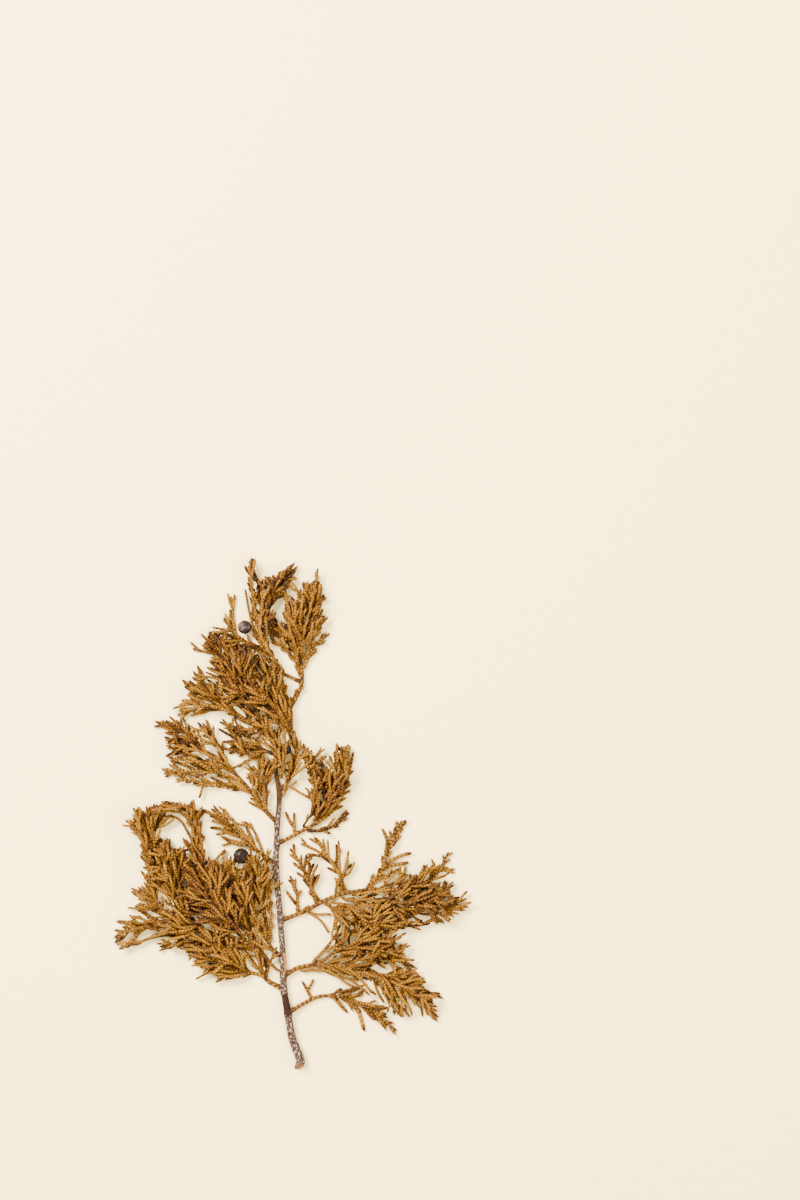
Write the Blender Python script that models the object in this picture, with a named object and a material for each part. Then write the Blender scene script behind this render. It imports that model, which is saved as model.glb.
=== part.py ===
"""A pressed and dried branch of Ashe juniper, cut from its tree and lying flat.

The branch lies on the plane z = 0 with its cut end towards -Y and its tip towards +Y.
Lengths below are millimetres. Places are measured from the middle of the cut end: x to the
right, y towards the tip. Everything is laid down in turn, from the lowest piece to the
highest, and each twig rises over what already lies under it, as in a plant press.
"""

import math
import random
from collections import namedtuple

import bmesh
import bpy
import numpy as np
from mathutils import Vector

MM = 0.001

PRESSED_THICKNESS = 8.6  # nothing lies higher than this
GAP = 0.34  # clear space between two solids
OWN_GAP = 0.1  # clear space between two twigs of one spray
CLOSEST = 0.05  # how far a twig may come short of its height over another
ROOT_ROOM = 1.7  # a twig may meet others of its spray this near its root
FOOT_ROOM = 2.3  # kept free round the foot of each spray still to come
STEEPEST = 0.75  # rise of a twig over its length
STEEPEST_LIMB = 1.2  # the same for a bough or stalk
LIFTING_ROUNDS = 12  # times that a twig is tried against what it lies on
SAMPLE = 0.7  # spacing of the places where a twig is tested against what lies below
NEAR_FOOT = 0.02  # share of a twig's first stretch that can't be lifted
LEAST_SINE = 0.3  # of the angle between a limb and its carrier
LOW = 0.75  # height of the middle line of a twig on the ground, as a share of its radius

BOUGH_SIDES = 6
BOUGH_BEND = 4.4  # distance between the bends of a bough
STEM_SIDES = 10
STEM_BEND = 8.5

TWIG_SIDES = 3
TWIG_BEND = 6.5
TWIG_RADIUS = 0.64  # of a leafy twig, with its scale leaves
ROOT_RADIUS = 0.36  # of a twig where it leaves its stalk
TIP_SHARE = 0.8  # of a twig's radius at its tip
STALK_RADIUS = 0.74  # of a spray's main stalk at its foot
STALK_TIP_RADIUS = 0.54
CONE_STALK_RADIUS = 0.45
LEAST_TWIG = 2.6  # a shorter twig is left out
FIRST_TWIG = 1.6  # from a stalk's foot to its first side twig
LAST_TWIG = 2.0  # from the last side twig to the stalk's tip
PAST_TIP = 0.8  # how far a side twig may reach past the stalk's tip
CURL = 0.32  # how much of its angle a twig turns back towards its stalk's direction
SHOOT_BOW = 0.06  # how far a single shoot bows, over its length
ROOT_HEIGHTS = (-0.06, 0.14)  # of side twigs above or below the middle of their stalk
SECOND_START = 3.6  # from a side twig's root to its own first twig, and from its last to its tip
SECOND_END = 3.2
SECOND_PITCH = 3.6
SECOND_SPLAY = 31  # degrees
SECOND_RADIUS = 0.6
SECOND_LONGEST = 7.6
SECOND_SHORTEST = 1.6
SECOND_SHARE = 0.72  # of the length that is left of the side twig
ROLL = 0.22  # most that a twig is rolled about its own line, in radians
WELD = 0.004  # corners nearer than this become one

# How the side twigs lengthen from a spray's foot and shorten to its tip: the share at the foot
# and its growth along the stalk, then the fall towards the tip and the share at the tip
FORMS = {
    "feather": (0.55, 2.0, 2.6, 0.35),
    "fan": (0.25, 1.1, 2.6, 0.55),
    "plume": (0.62, 1.6, 1.25, 0.32),
}

STEM = "main_stem"
# The stem's middle line and its thickness along it, from the cut end to the leader's tip
STEM_WAY = (
    (0.0, 0.0), (0.2, 3.0), (-2.7, 10.9), (-4.5, 21.0), (-5.9, 30.3), (-6.2, 42.1), (-7.3, 56.6),
    (-8.6, 74.2), (-8.4, 87.3), (-7.6, 100.9), (-8.8, 111.2), (-8.5, 122.0), (-5.2, 130.5),
    (-1.5, 137.5), (0.9, 143.6), (0.6, 152.8),
)
STEM_THICKNESS = ((0, 3.5), (14, 2.9), (30, 2.45), (80, 2.15), (102, 1.95), (114, 1.6), (160, 1.25))
CUT_SLANT = math.radians(24)

# A bough leaves its carrier at a distance along it, passes through its way and tapers
Bough = namedtuple("Bough", "name on at way foot tip")
BOUGHS = (
    Bough("left_low_bough", STEM, 29.3, ((-10.4, 31.0), (-14.2, 34.3)), 1.9, 1.5),
    Bough("left_long_bough", "left_low_bough", 5.0,
          ((-12.3, 40.3), (-17.8, 45.0), (-26.8, 48.6), (-38.5, 48.2), (-48.4, 52.0)), 1.6, 1.25),
    Bough("left_inner_bough", STEM, 40.0, ((-10.9, 45.0), (-12.0, 51.0), (-12.9, 56.6)), 1.5, 1.3),
    Bough("left_mid_bough", STEM, 76.0, ((-12.0, 77.8), (-14.6, 79.8)), 1.5, 1.3),
    Bough("left_high_bough", STEM, 91.0, ((-14.3, 97.5), (-18.9, 103.8), (-24.6, 110.2)), 1.7, 1.3),
    Bough("arched_bough", "left_long_bough", 20.5,
          ((-31.6, 56.5), (-34.6, 66.0), (-36.4, 78.8)), 1.4, 1.2),
    Bough("right_low_bough", STEM, 20.3, ((0.6, 22.9), (5.4, 25.5), (11.2, 26.7)), 1.7, 1.3),
    Bough("right_lower_bough", STEM, 34.3, ((0.1, 37.1), (7.0, 38.2)), 1.8, 1.5),
    Bough("right_long_bough", "right_lower_bough", 99, ((17.0, 37.6), (27.0, 36.0)), 1.5, 1.3),
    Bough("right_rising_bough", "right_long_bough", 5.0,
          ((17.5, 42.4), (27.2, 49.8), (40.6, 55.6)), 1.4, 1.2),
    Bough("right_mid_bough", STEM, 55.0,
          ((2.4, 58.3), (10.1, 62.4), (17.4, 64.9), (27.2, 66.5)), 1.7, 1.3),
    Bough("right_high_bough", STEM, 83.5, ((-1.5, 86.8), (7.0, 91.2)), 1.6, 1.3),
    Bough("right_top_bough", STEM, 102.0, ((-3.6, 107.6), (-1.6, 114.4), (-0.9, 121.8)), 1.6, 1.3),
    Bough("upper_left_bough", STEM, 124.5, ((-12.0, 125.6), (-16.4, 127.0), (-20.6, 130.0)), 1.4, 1.2),
    Bough("crown_left_bough", STEM, 146.5, ((-8.2, 148.3), (-14.2, 155.0)), 1.4, 1.2),
)

# A spray's main stalk leaves its bough or the stem as a bough does. Its side twigs reach as far
# as left and right say, seen along the stalk, at splay degrees to it and pitch apart. A feather
# keeps its width, a plume narrows towards its tip and a fan widens. Shoots are single side twigs:
# the distance along the stalk, and where the tip lies.
Spray = namedtuple("Spray", "name on at way left right splay pitch form shoots",
                   defaults=(34, 2.1, "plume", ()))
SPRAYS = (
    Spray("left_edge_spray", "left_long_bough", 11.5,
          ((-25.6, 45.6), (-34.0, 44.8), (-43.0, 46.6), (-52.3, 44.7)), 8, 1.5, 27, 2.4,
          shoots=((23.5, -52.2, 43.4), (14.5, -43.6, 39.8))),
    Spray("left_low_spray", "left_low_bough", 99,
          ((-22.3, 36.2), (-31.0, 40.0), (-38.4, 42.9)), 13, 17, 34,
          shoots=((11.0, -29.8, 31.6), (15.5, -36.1, 35.0))),
    Spray("left_far_spray", "left_long_bough", 99,
          ((-56.5, 53.4), (-62.6, 51.8), (-66.8, 49.6), (-69.1, 46.1)), 8, 8, 26,
          shoots=((8.0, -68.8, 54.2), (1.5, -62.6, 61.0), (5.0, -65.4, 44.7))),
    Spray("left_fan_spray", "left_long_bough", 37.0,
          ((-53.6, 59.5), (-53.9, 70.0), (-54.6, 83.0), (-58.4, 95.6)), 13, 13, 30, 2.0, "fan",
          ((7.0, -66.6, 63.6), (9.0, -60.6, 67.2), (13.5, -57.4, 72.4))),
    Spray("arch_spray", "arched_bough", 99,
          ((-38.0, 86.0), (-40.0, 93.0), (-44.2, 97.4), (-51.9, 99.0)), 1, 8.5, 30, 1.2, "feather",
          ((1.5, -44.6, 84.2),)),
    Spray("left_inner_spray", "left_inner_bough", 99,
          ((-14.2, 62.5), (-16.4, 69.0), (-17.6, 75.4)), 11, 12, 26, 1.9, "feather"),
    Spray("left_rising_spray", "left_long_bough", 29.5,
          ((-42.6, 54.5), (-45.0, 63.0), (-47.0, 72.0), (-50.1, 83.9)), 15, 15, 25, 2.0),
    Spray("left_heart_spray", "left_long_bough", 8.0,
          ((-17.8, 51.0), (-21.2, 58.5), (-25.5, 66.5), (-30.2, 75.0)), 15, 15, 26, 1.9),
    Spray("left_core_spray", "left_long_bough", 13.5,
          ((-24.6, 54.0), (-30.0, 61.0), (-35.0, 68.5), (-38.6, 76.0)), 15, 15, 27, 1.9),
    Spray("left_mid_spray", "left_mid_bough", 99,
          ((-20.6, 84.2), (-26.8, 91.3), (-32.3, 97.7)), 11, 4, 26, 2.2,
          shoots=((1.2, -12.3, 85.2), (2.2, -20.0, 89.6), (9.0, -36.5, 90.2), (15.0, -36.6, 96.4))),
    Spray("left_high_spray", "left_high_bough", 99,
          ((-30.4, 114.8), (-36.9, 119.3), (-42.3, 124.4), (-46.0, 129.7)), 14, 9, 33, 1.9,
          shoots=((3.2, -35.0, 129.9), (6.0, -39.9, 129.4), (22.5, -54.7, 127.1))),
    Spray("left_high_low_spray", "left_high_bough", 16.0,
          ((-28.0, 109.6), (-36.9, 110.8), (-50.8, 109.5)), 6, 12, 28, 1.9),
    Spray("left_high_edge_spray", "left_high_bough", 12.0,
          ((-24.5, 104.8), (-34.0, 106.2), (-46.3, 107.6)), 5, 6, 26, 2.2,
          shoots=((15.0, -38.3, 98.3), (19.0, -40.6, 103.5))),
    Spray("left_high_inner_spray", "left_high_bough", 4.0,
          ((-13.0, 101.0), (-14.2, 106.0), (-17.4, 112.6)), 8, 10, 26, 1.8, "feather"),
    Spray("right_low_spray", "right_low_bough", 99,
          ((18.5, 25.4), (25.0, 21.8), (36.5, 13.3)), 8, 8, 26, 2.2,
          shoots=((1.0, 18.3, 19.9), (2.0, 25.2, 30.6), (6.5, 24.4, 12.9), (9.5, 32.2, 22.4),
                  (14.0, 32.8, 14.6))),
    Spray("right_low_fork", "right_low_bough", 8.2, ((3.0, 29.2), (1.0, 31.9)), 1, 1, 30, 9,
          shoots=((2.4, 5.4, 32.9),)),
    Spray("right_reach_spray", "right_long_bough", 99,
          ((35.8, 30.6), (42.5, 26.4), (52.1, 18.3)), 15, 14, 28, 2.0,
          shoots=((12.0, 52.9, 27.2), (21.5, 46.1, 18.4), (3.5, 38.2, 18.4))),
    Spray("right_middle_spray", "right_long_bough", 12.5,
          ((25.6, 38.9), (32.0, 40.6), (39.2, 40.2)), 9, 8, 28, 1.7, shoots=((11.0, 43.6, 36.9),)),
    Spray("right_heart_spray", "right_lower_bough", 10.0,
          ((12.6, 41.6), (18.5, 45.6), (29.6, 44.8), (36.0, 47.0)), 11, 9, 26, 1.8),
    Spray("right_climb_spray", "right_lower_bough", 8.4,
          ((7.4, 41.8), (11.8, 46.4), (15.6, 53.6)), 2.6, 8, 24, 2.6),
    Spray("right_tip_spray", "right_rising_bough", 99,
          ((46.0, 58.4), (52.5, 60.2), (62.5, 59.9)), 10, 10, 28, 1.8,
          shoots=((7.5, 54.4, 51.4), (1.6, 46.4, 51.6))),
    Spray("right_mid_spray", "right_mid_bough", 99,
          ((36.7, 66.2), (45.3, 67.2), (51.3, 72.4), (55.8, 80.2)), 11, 10, 32, 1.8,
          shoots=((8.5, 40.4, 72.2), (13.5, 42.9, 77.4), (15.0, 48.0, 79.9))),
    Spray("right_spur_spray", "right_mid_bough", 31.5,
          ((31.0, 74.0), (33.2, 81.6), (38.3, 91.9)), 6, 7, 26, 2.0, "fan",
          ((7.0, 41.0, 76.4), (10.0, 42.2, 79.9), (16.6, 30.8, 89.2))),
    Spray("right_far_spray", "right_mid_bough", 26.5,
          ((28.0, 62.4), (38.0, 61.8), (48.0, 64.0), (57.9, 67.9)), 8, 11, 28, 1.7),
    Spray("right_under_spray", "right_mid_bough", 15.5,
          ((13.4, 58.6), (19.0, 54.6), (28.0, 53.4), (37.5, 53.0)), 11, 5, 26, 1.9,
          shoots=((1.5, 14.4, 50.4),)),
    Spray("right_high_low_spray", "right_high_bough", 9.0,
          ((5.2, 87.6), (12.4, 89.6), (18.6, 95.0)), 7, 3.2, 30, 2.2,
          shoots=((2.0, 15.4, 86.6), (7.4, 15.5, 91.0))),
    Spray("upright_shoots", "right_high_bough", 5.6, ((-2.5, 90.6), (-2.0, 95.1)), 1, 1, 30, 9,
          shoots=((0.9, -5.2, 95.5),)),
    Spray("right_high_spray", "right_high_bough", 99,
          ((13.4, 96.8), (17.9, 107.0), (20.2, 117.6)), 22, 5, 34, 1.5),
    Spray("right_high_inner_spray", "right_high_bough", 13.5,
          ((7.2, 98.5), (4.2, 108.5), (1.3, 117.9)), 4, 13, 24, 1.9),
    Spray("outer_feather", "right_mid_bough", 23.6,
          ((15.4, 71.4), (10.2, 78.6), (0.4, 83.4)), 6.5, 11, 30, 2.2, "feather"),
    Spray("inner_feather", "right_mid_bough", 13.0,
          ((4.4, 66.4), (0.2, 76.0), (-3.6, 81.6)), 5.2, 9, 28, 1.9, "feather"),
    Spray("near_feather", "right_mid_bough", 4.6, ((-0.2, 62.5), (-3.6, 71.4)), 5, 5, 30, 2.0,
          shoots=((2.0, -5.2, 66.0),)),
    Spray("leader_left_spray", STEM, 153.0,
          ((-2.4, 156.5), (-7.5, 161.6), (-16.0, 164.4)), 5, 13, 30, 1.7),
    Spray("upper_left_spray", "upper_left_bough", 99,
          ((-27.5, 134.6), (-35.0, 137.4), (-43.2, 142.2)), 7, 10, 28, 1.9,
          shoots=((6.5, -45.1, 133.4), (9.0, -44.6, 136.9), (14.0, -39.8, 148.1))),
    Spray("upper_rising_spray", "upper_left_bough", 6.5,
          ((-15.8, 132.0), (-20.6, 141.5), (-26.4, 151.0), (-33.9, 160.4)), 14, 15, 26, 1.8,
          shoots=((26.0, -40.4, 156.4),)),
    Spray("upper_low_spray", STEM, 117.0, ((-13.5, 119.0), (-21.0, 121.4), (-30.4, 126.4)), 9, 8, 28, 1.9,
          shoots=((2.0, -25.4, 111.4), (4.0, -26.6, 117.0))),
    Spray("right_top_spray", "right_top_bough", 99,
          ((-3.0, 127.0), (-7.0, 135.0), (-11.5, 144.0), (-16.5, 151.5)), 14, 11, 25, 1.8),
    Spray("crown_left_spray", "crown_left_bough", 99,
          ((-19.4, 158.4), (-24.6, 162.2), (-28.4, 168.0)), 9, 4, 26, 1.8,
          shoots=((11.0, -24.2, 176.8),)),
    Spray("crown_top_spray", "crown_left_bough", 10.5,
          ((-12.8, 160.5), (-11.6, 170.0), (-8.0, 178.4), (-3.2, 185.6)), 16, 7, 24, 1.6, "feather",
          ((8.0, -18.4, 188.0), (16.0, -7.2, 185.4))),
    Spray("leader_spray", STEM, 999,
          ((1.2, 160.0), (4.4, 172.0), (6.9, 184.0)), 18, 11, 25, 1.5,
          shoots=((6.0, 9.8, 168.8), (12.0, 9.2, 177.0))),
    Spray("leader_right_spray", STEM, 150.5, ((4.2, 152.0), (5.4, 157.0), (11.4, 162.1)), 5, 4, 28, 2.4),
)

# A seed cone stands on a short stalk that leaves its spray at a distance along it
Cone = namedtuple("Cone", "name x y width spray at")
CONES = (
    Cone("crown_seed_cone", -20.4, 164.4, 5.3, "crown_left_spray", 4.2),
    Cone("left_seed_cone", -21.7, 78.9, 6.0, "left_mid_spray", 3.2),
    Cone("upper_seed_cone", -5.1, 118.6, 4.3, "right_top_spray", 1.0),
)
CONE_FLATTENING = 0.92
CONE_RINGS = 8
CONE_SIDES = 12

SHADES = {
    "bark": ((0.30, 0.24, 0.22), 0.9),
    "brown_twig": ((0.42, 0.22, 0.07), 0.8),
    "red_twig": ((0.34, 0.15, 0.05), 0.8),
    "olive_twig": ((0.38, 0.24, 0.07), 0.8),
    "cone_skin": ((0.07, 0.05, 0.06), 0.5),
}

Twig = namedtuple("Twig", "points radii")  # points are rows of x, y, z


def smooth_way(corners, spacing):
    """Points about spacing apart on a smooth line through the corners."""
    corners = [np.array(c, float) for c in corners]
    padded = [2 * corners[0] - corners[1], *corners, 2 * corners[-1] - corners[-2]]
    fine = []
    for a, b, c, d in zip(padded, padded[1:], padded[2:], padded[3:]):
        for t in np.arange(0, 1, 0.05):
            fine.append(0.5 * (2 * b + (c - a) * t + (2 * a - 5 * b + 4 * c - d) * t**2
                               + (3 * b - a - 3 * c + d) * t**3))
    fine.append(corners[-1])
    fine = np.array(fine)
    run = np.concatenate(([0], np.cumsum(np.linalg.norm(np.diff(fine, axis=0), axis=1))))
    count = max(2, round(run[-1] / spacing) + 1)
    at = np.linspace(0, run[-1], count)
    return np.column_stack([np.interp(at, run, fine[:, k]) for k in range(fine.shape[1])])


def run_along(points):
    """Distance of each point from the first, along the line."""
    return np.concatenate(([0], np.cumsum(np.linalg.norm(np.diff(points, axis=0), axis=1))))


def place_at(points, distance):
    """The place at a distance along a line, and the line's direction there."""
    run = run_along(points[:, :2])
    distance = min(max(distance, 0), run[-1])
    place = np.array([np.interp(distance, run, points[:, k]) for k in range(points.shape[1])])
    k = min(np.searchsorted(run, distance, side="right"), len(points) - 1)
    ahead = points[k, :2] - points[k - 1, :2]
    return place, ahead / np.linalg.norm(ahead)


def turned(direction, angle):
    """A flat direction turned to the left by an angle."""
    c, s = math.cos(angle), math.sin(angle)
    return np.array([c * direction[0] - s * direction[1], s * direction[0] + c * direction[1]])


class Pile:
    """What is laid down so far, as short round bars, each known by its node and its twig."""

    def __init__(self):
        self.bars = np.zeros((0, 7))
        self.nodes = []
        self.twigs = []
        self.feet = {}  # where the sprays still to come will start

    def add(self, twig, node, number=0):
        bars = [(*a, *b, max(ra, rb)) for a, b, ra, rb
                in zip(twig.points, twig.points[1:], twig.radii, twig.radii[1:])]
        self.bars = np.vstack([self.bars, bars])
        self.nodes += [node] * len(bars)
        self.twigs += [number] * len(bars)

    def heights(self, places, radius, owner, apart_from):
        """The least height of a twig's middle line at each place, over what its owner lies on.

        Owner is the twig's node with its parent twig's number. Apart_from names other nodes that
        don't count.
        """
        node, parent = owner
        least = np.full(len(places), radius * LOW)
        for name, foot in self.feet.items():
            if name not in apart_from:
                least[np.linalg.norm(places - foot, axis=1) < FOOT_ROOM] = PRESSED_THICKNESS
        nodes = np.array(self.nodes)
        same = nodes == node
        counted = ~(same & (np.array(self.twigs) == parent)) & ~np.isin(nodes, list(apart_from))
        bars = self.bars[counted]
        start, end = bars[:, 0:3], bars[:, 3:6]
        touch = bars[:, 6] + radius + np.where(same[counted], OWN_GAP, GAP)
        line = end[:, :2] - start[:, :2]
        square = np.maximum((line**2).sum(1), 1e-9)
        run = run_along(places)
        for k, place in enumerate(places):
            t = np.clip(((place - start[:, :2]) * line).sum(1) / square, 0, 1)
            away = np.linalg.norm(start[:, :2] + line * t[:, None] - place, axis=1)
            under = away < touch
            if run[k] < ROOT_ROOM:
                under &= ~same[counted]
            if under.any():
                middle = start[under, 2] + (end[under, 2] - start[under, 2]) * t[under]
                lift = np.sqrt(touch[under] ** 2 - away[under] ** 2)
                least[k] = max(least[k], (middle + lift).max())
        return least


def segment_of(run, distance):
    """Which stretch between two bends a distance falls in, and its share of that stretch."""
    k = min(np.searchsorted(run, distance, side="right") - 1, len(run) - 2)
    return k, (distance - run[k]) / (run[k + 1] - run[k])


def laid(flat, radii, first_height, pile, owner, apart_from=(), steepest=STEEPEST):
    """A twig on top of the pile, along a flat line from a given first height.

    It ends early where it would have to climb too steeply, and is None where too little is left.
    """
    run = run_along(flat)
    count = max(3, int(run[-1] / SAMPLE) + 1)
    at = np.linspace(0, run[-1], count)
    places = np.column_stack([np.interp(at, run, flat[:, k]) for k in range(2)])
    radius = float(max(radii))
    least = pile.heights(places, radius, owner, apart_from)
    heights = np.full(len(flat), radius * LOW)
    heights[0] = max(first_height, heights[0])
    for _ in range(LIFTING_ROUNDS):
        for s, need in zip(at, least):
            k, share = segment_of(run, s)
            lack = need - (heights[k] * (1 - share) + heights[k + 1] * share)
            if lack <= 0:
                continue
            if k > 0:
                lift = lack / ((1 - share) ** 2 + share**2)
                heights[k] += lift * (1 - share)
                heights[k + 1] += lift * share
            elif share > NEAR_FOOT:
                heights[1] += lack / share
    # A long drop is spread over the points after it
    for k in range(1, len(flat)):
        fall = steepest * (run[k] - run[k - 1])
        heights[k] = max(heights[k], heights[k - 1] - fall)
    good = len(flat)
    for s, need in zip(at, least):
        k, share = segment_of(run, s)
        rise = heights[k + 1] - heights[k]
        lack = need - (heights[k] + rise * share)
        too_high = heights[k + 1] + radius > PRESSED_THICKNESS
        if lack > CLOSEST or rise > steepest * (run[k + 1] - run[k]) or too_high:
            good = k + 1
            break
    if good < 2 or run[good - 1] < LEAST_TWIG:
        return None
    points = np.column_stack([flat[:good], heights[:good]])
    return Twig(points, np.array(radii[:good]))


def stem_twig():
    flat = smooth_way(STEM_WAY, STEM_BEND)
    run = run_along(flat)
    radii = np.interp(run, [s for s, _ in STEM_THICKNESS], [d / 2 for _, d in STEM_THICKNESS])
    return Twig(np.column_stack([flat, radii]), radii)


def foot_on(carrier, at, first_corner, radius):
    """Where a limb starts: just clear of its carrier's side, or of its tip."""
    place, ahead = place_at(carrier.points, at)
    reach = np.array(first_corner) - place[:2]
    heading = reach / np.linalg.norm(reach)
    sine = abs(heading[0] * ahead[1] - heading[1] * ahead[0])
    cosine = abs(float(heading @ ahead))
    if at >= run_along(carrier.points[:, :2])[-1]:
        clear = GAP + radius * sine + carrier.radii[-1] * sine
    else:
        run = run_along(carrier.points[:, :2])
        thick = float(np.interp(at, run, carrier.radii))
        clear = (thick + GAP + radius * cosine) / max(sine, LEAST_SINE)
    return np.array([*(place[:2] + heading * clear), place[2]])


def limb(name, on, at, way, foot_radius, tip_radius, grown, pile, spacing):
    """One tapering limb, laid from its foot along its way."""
    foot = foot_on(grown[on], at, way[0], foot_radius)
    flat = smooth_way([foot[:2], *way], spacing)
    radii = np.linspace(foot_radius, tip_radius, len(flat))
    return laid(flat, radii, foot[2], pile, (name, 0), {on, *pile.feet}, STEEPEST_LIMB)


def width_share(form, along):
    """How long a side twig is, as a share of the longest, at a share along its stalk."""
    foot, growth, fall, tip = FORMS[form]
    return min(1.0, foot + growth * along) * min(1.0, fall * (1 - along) + tip)


def twig_radii(radius, count):
    """A twig is thin at its root and a little thinner at its tip than between them."""
    return [ROOT_RADIUS] + [radius] * (count - 2) + [radius * TIP_SHARE]


def side_twig(start, heading, length, curl, radius, pile, owner):
    """A leafy twig from a place on its stalk, curving by curl towards its end."""
    count = max(2, round(length / TWIG_BEND) + 1)
    flat = [start[:2]]
    for k in range(count - 1):
        flat.append(flat[-1] + turned(heading, curl * (k + 0.5) / (count - 1)) * length / (count - 1))
    return laid(np.array(flat), twig_radii(radius, count), start[2], pile, owner)


def shoot_to(stalk, at, tip, pile, owner):
    """A single side twig from a place on its stalk to where its tip lies."""
    start, ahead = place_at(stalk.points, at)
    middle = start[:2] * 0.5 + np.array(tip) * 0.5
    length = np.linalg.norm(np.array(tip) - start[:2])
    middle = middle + ahead * length * SHOOT_BOW
    flat = smooth_way([start[:2], middle, tip], TWIG_BEND)
    return laid(flat, twig_radii(TWIG_RADIUS, len(flat)), start[2], pile, owner)


def grow_spray(spray, grown, pile):
    """The twigs of one spray: its stalk first, then its shoots, then its side twigs and theirs."""
    dice = random.Random(spray.name)
    stalk = limb(spray.name, spray.on, spray.at, spray.way, STALK_RADIUS, STALK_TIP_RADIUS,
                 grown, pile, TWIG_BEND)
    twigs = []
    keep(stalk, spray.name, twigs, pile)
    on_stalk = (spray.name, 0)
    for at, x, y in spray.shoots:
        keep(shoot_to(stalk, at, (x, y), pile, on_stalk), spray.name, twigs, pile)
    length = run_along(stalk.points[:, :2])[-1]
    side = 1
    at = FIRST_TWIG
    while at < length - LAST_TWIG:
        reach = (spray.left if side > 0 else spray.right) * width_share(spray.form, at / length)
        reach *= dice.uniform(0.82, 1.08)
        angle = math.radians(spray.splay * dice.uniform(0.85, 1.2)) * side
        reach = min(reach, (length - at) / math.cos(angle) + PAST_TIP)
        curl = -CURL * angle * dice.uniform(0.4, 1.3)
        start, ahead = place_at(stalk.points, at)
        start[2] += dice.uniform(*ROOT_HEIGHTS)
        twig = side_twig(start, turned(ahead, angle), reach, curl, TWIG_RADIUS, pile, on_stalk)
        if keep(twig, spray.name, twigs, pile):
            add_second_twigs(spray.name, twigs, side, pile, dice)
        at += spray.pitch * dice.uniform(0.85, 1.15)
        side = -side
    return twigs


def keep(twig, name, twigs, pile):
    """Adds a twig to its spray and to the pile, if there is one."""
    if twig is None:
        return False
    pile.add(twig, name, len(twigs))
    twigs.append(twig)
    return True


def add_second_twigs(name, twigs, side, pile, dice):
    """Adds shorter twigs to the latest side twig, on alternate sides."""
    number = len(twigs) - 1
    twig = twigs[number]
    length = run_along(twig.points[:, :2])[-1]
    at = SECOND_START
    while at < length - SECOND_END:
        start, ahead = place_at(twig.points, at)
        reach = min(SECOND_LONGEST, SECOND_SHARE * (length - at) + SECOND_SHORTEST)
        reach *= dice.uniform(0.8, 1.05)
        angle = math.radians(SECOND_SPLAY * dice.uniform(0.85, 1.15)) * side
        shoot = side_twig(start, turned(ahead, angle), reach, -CURL * angle, SECOND_RADIUS, pile,
                          (name, number))
        keep(shoot, name, twigs, pile)
        at += SECOND_PITCH * dice.uniform(0.88, 1.12)
        side = -side


def cone_centre(cone):
    return np.array([cone.x, cone.y, cone.width * CONE_FLATTENING / 2])


def cone_stalk(cone, stalk):
    """The short twig that carries a cone, ending just clear of its skin."""
    start, _ = place_at(stalk.points, cone.at)
    centre = cone_centre(cone)
    line = centre - start
    away = np.linalg.norm(line)
    end = start + line * (away - cone.width / 2 - GAP) / away
    middle = (start + end) / 2
    radii = [ROOT_RADIUS, CONE_STALK_RADIUS, CONE_STALK_RADIUS]
    return Twig(np.array([start, middle, end]), np.array(radii))


def grow():
    """Every limb and spray, laid in turn. Gives the limbs by name, and each spray's twigs."""
    pile = Pile()
    grown = {STEM: stem_twig()}
    pile.add(grown[STEM], STEM)
    for cone in CONES:
        centre = cone_centre(cone)
        radius = cone.width / 2
        pile.add(Twig(np.array([centre, centre]), np.array([radius, radius])), cone.name)
    for bough in BOUGHS:
        twig = limb(bough.name, bough.on, bough.at, bough.way, bough.foot / 2, bough.tip / 2,
                    grown, pile, BOUGH_BEND)
        grown[bough.name] = twig
        pile.add(twig, bough.name)
    for spray in SPRAYS:
        foot = foot_on(grown[spray.on], spray.at, spray.way[0], STALK_RADIUS)
        pile.feet[spray.name] = foot[:2]
    sprays = {}
    for spray in SPRAYS:
        del pile.feet[spray.name]
        twigs = grow_spray(spray, grown, pile)
        for cone in CONES:
            if cone.spray == spray.name:
                keep(cone_stalk(cone, twigs[0]), spray.name, twigs, pile)
        sprays[spray.name] = twigs
    return grown, sprays


def shade(name):
    """The plain material of a kind of piece."""
    found = bpy.data.materials.get(name)
    if found:
        return found
    colour, roughness = SHADES[name]
    found = bpy.data.materials.new(name)
    found.use_nodes = True
    surface = found.node_tree.nodes["Principled BSDF"]
    surface.inputs["Base Color"].default_value = (*colour, 1)
    surface.inputs["Roughness"].default_value = roughness
    surface.inputs["Metallic"].default_value = 0.0
    return found


def tube(twig, sides, roll=0.0, slant=0.0):
    """A closed tube round a twig's middle line, in millimetres. Slant tilts its first end."""
    points = [Vector(p) for p in twig.points]
    corners = []
    for k, (point, radius) in enumerate(zip(points, twig.radii)):
        back = points[max(k - 1, 0)]
        front = points[min(k + 1, len(points) - 1)]
        along = (front - back).normalized()
        across = along.cross(Vector((0, 0, 1))).normalized()
        up = across.cross(along)
        for j in range(sides):
            angle = roll + math.pi / 2 + 2 * math.pi * j / sides
            corner = point + (across * math.cos(angle) + up * math.sin(angle)) * radius
            if k == 0 and slant:
                corner += along * math.cos(angle) * radius * math.tan(slant)
            corners.append(corner)
    faces = []
    for k in range(len(points) - 1):
        for j in range(sides):
            a, b = k * sides + j, k * sides + (j + 1) % sides
            faces.append((a, b, b + sides, a + sides))
    faces.append(tuple(reversed(range(sides))))
    faces.append(tuple(range((len(points) - 1) * sides, len(points) * sides)))
    return corners, faces


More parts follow.
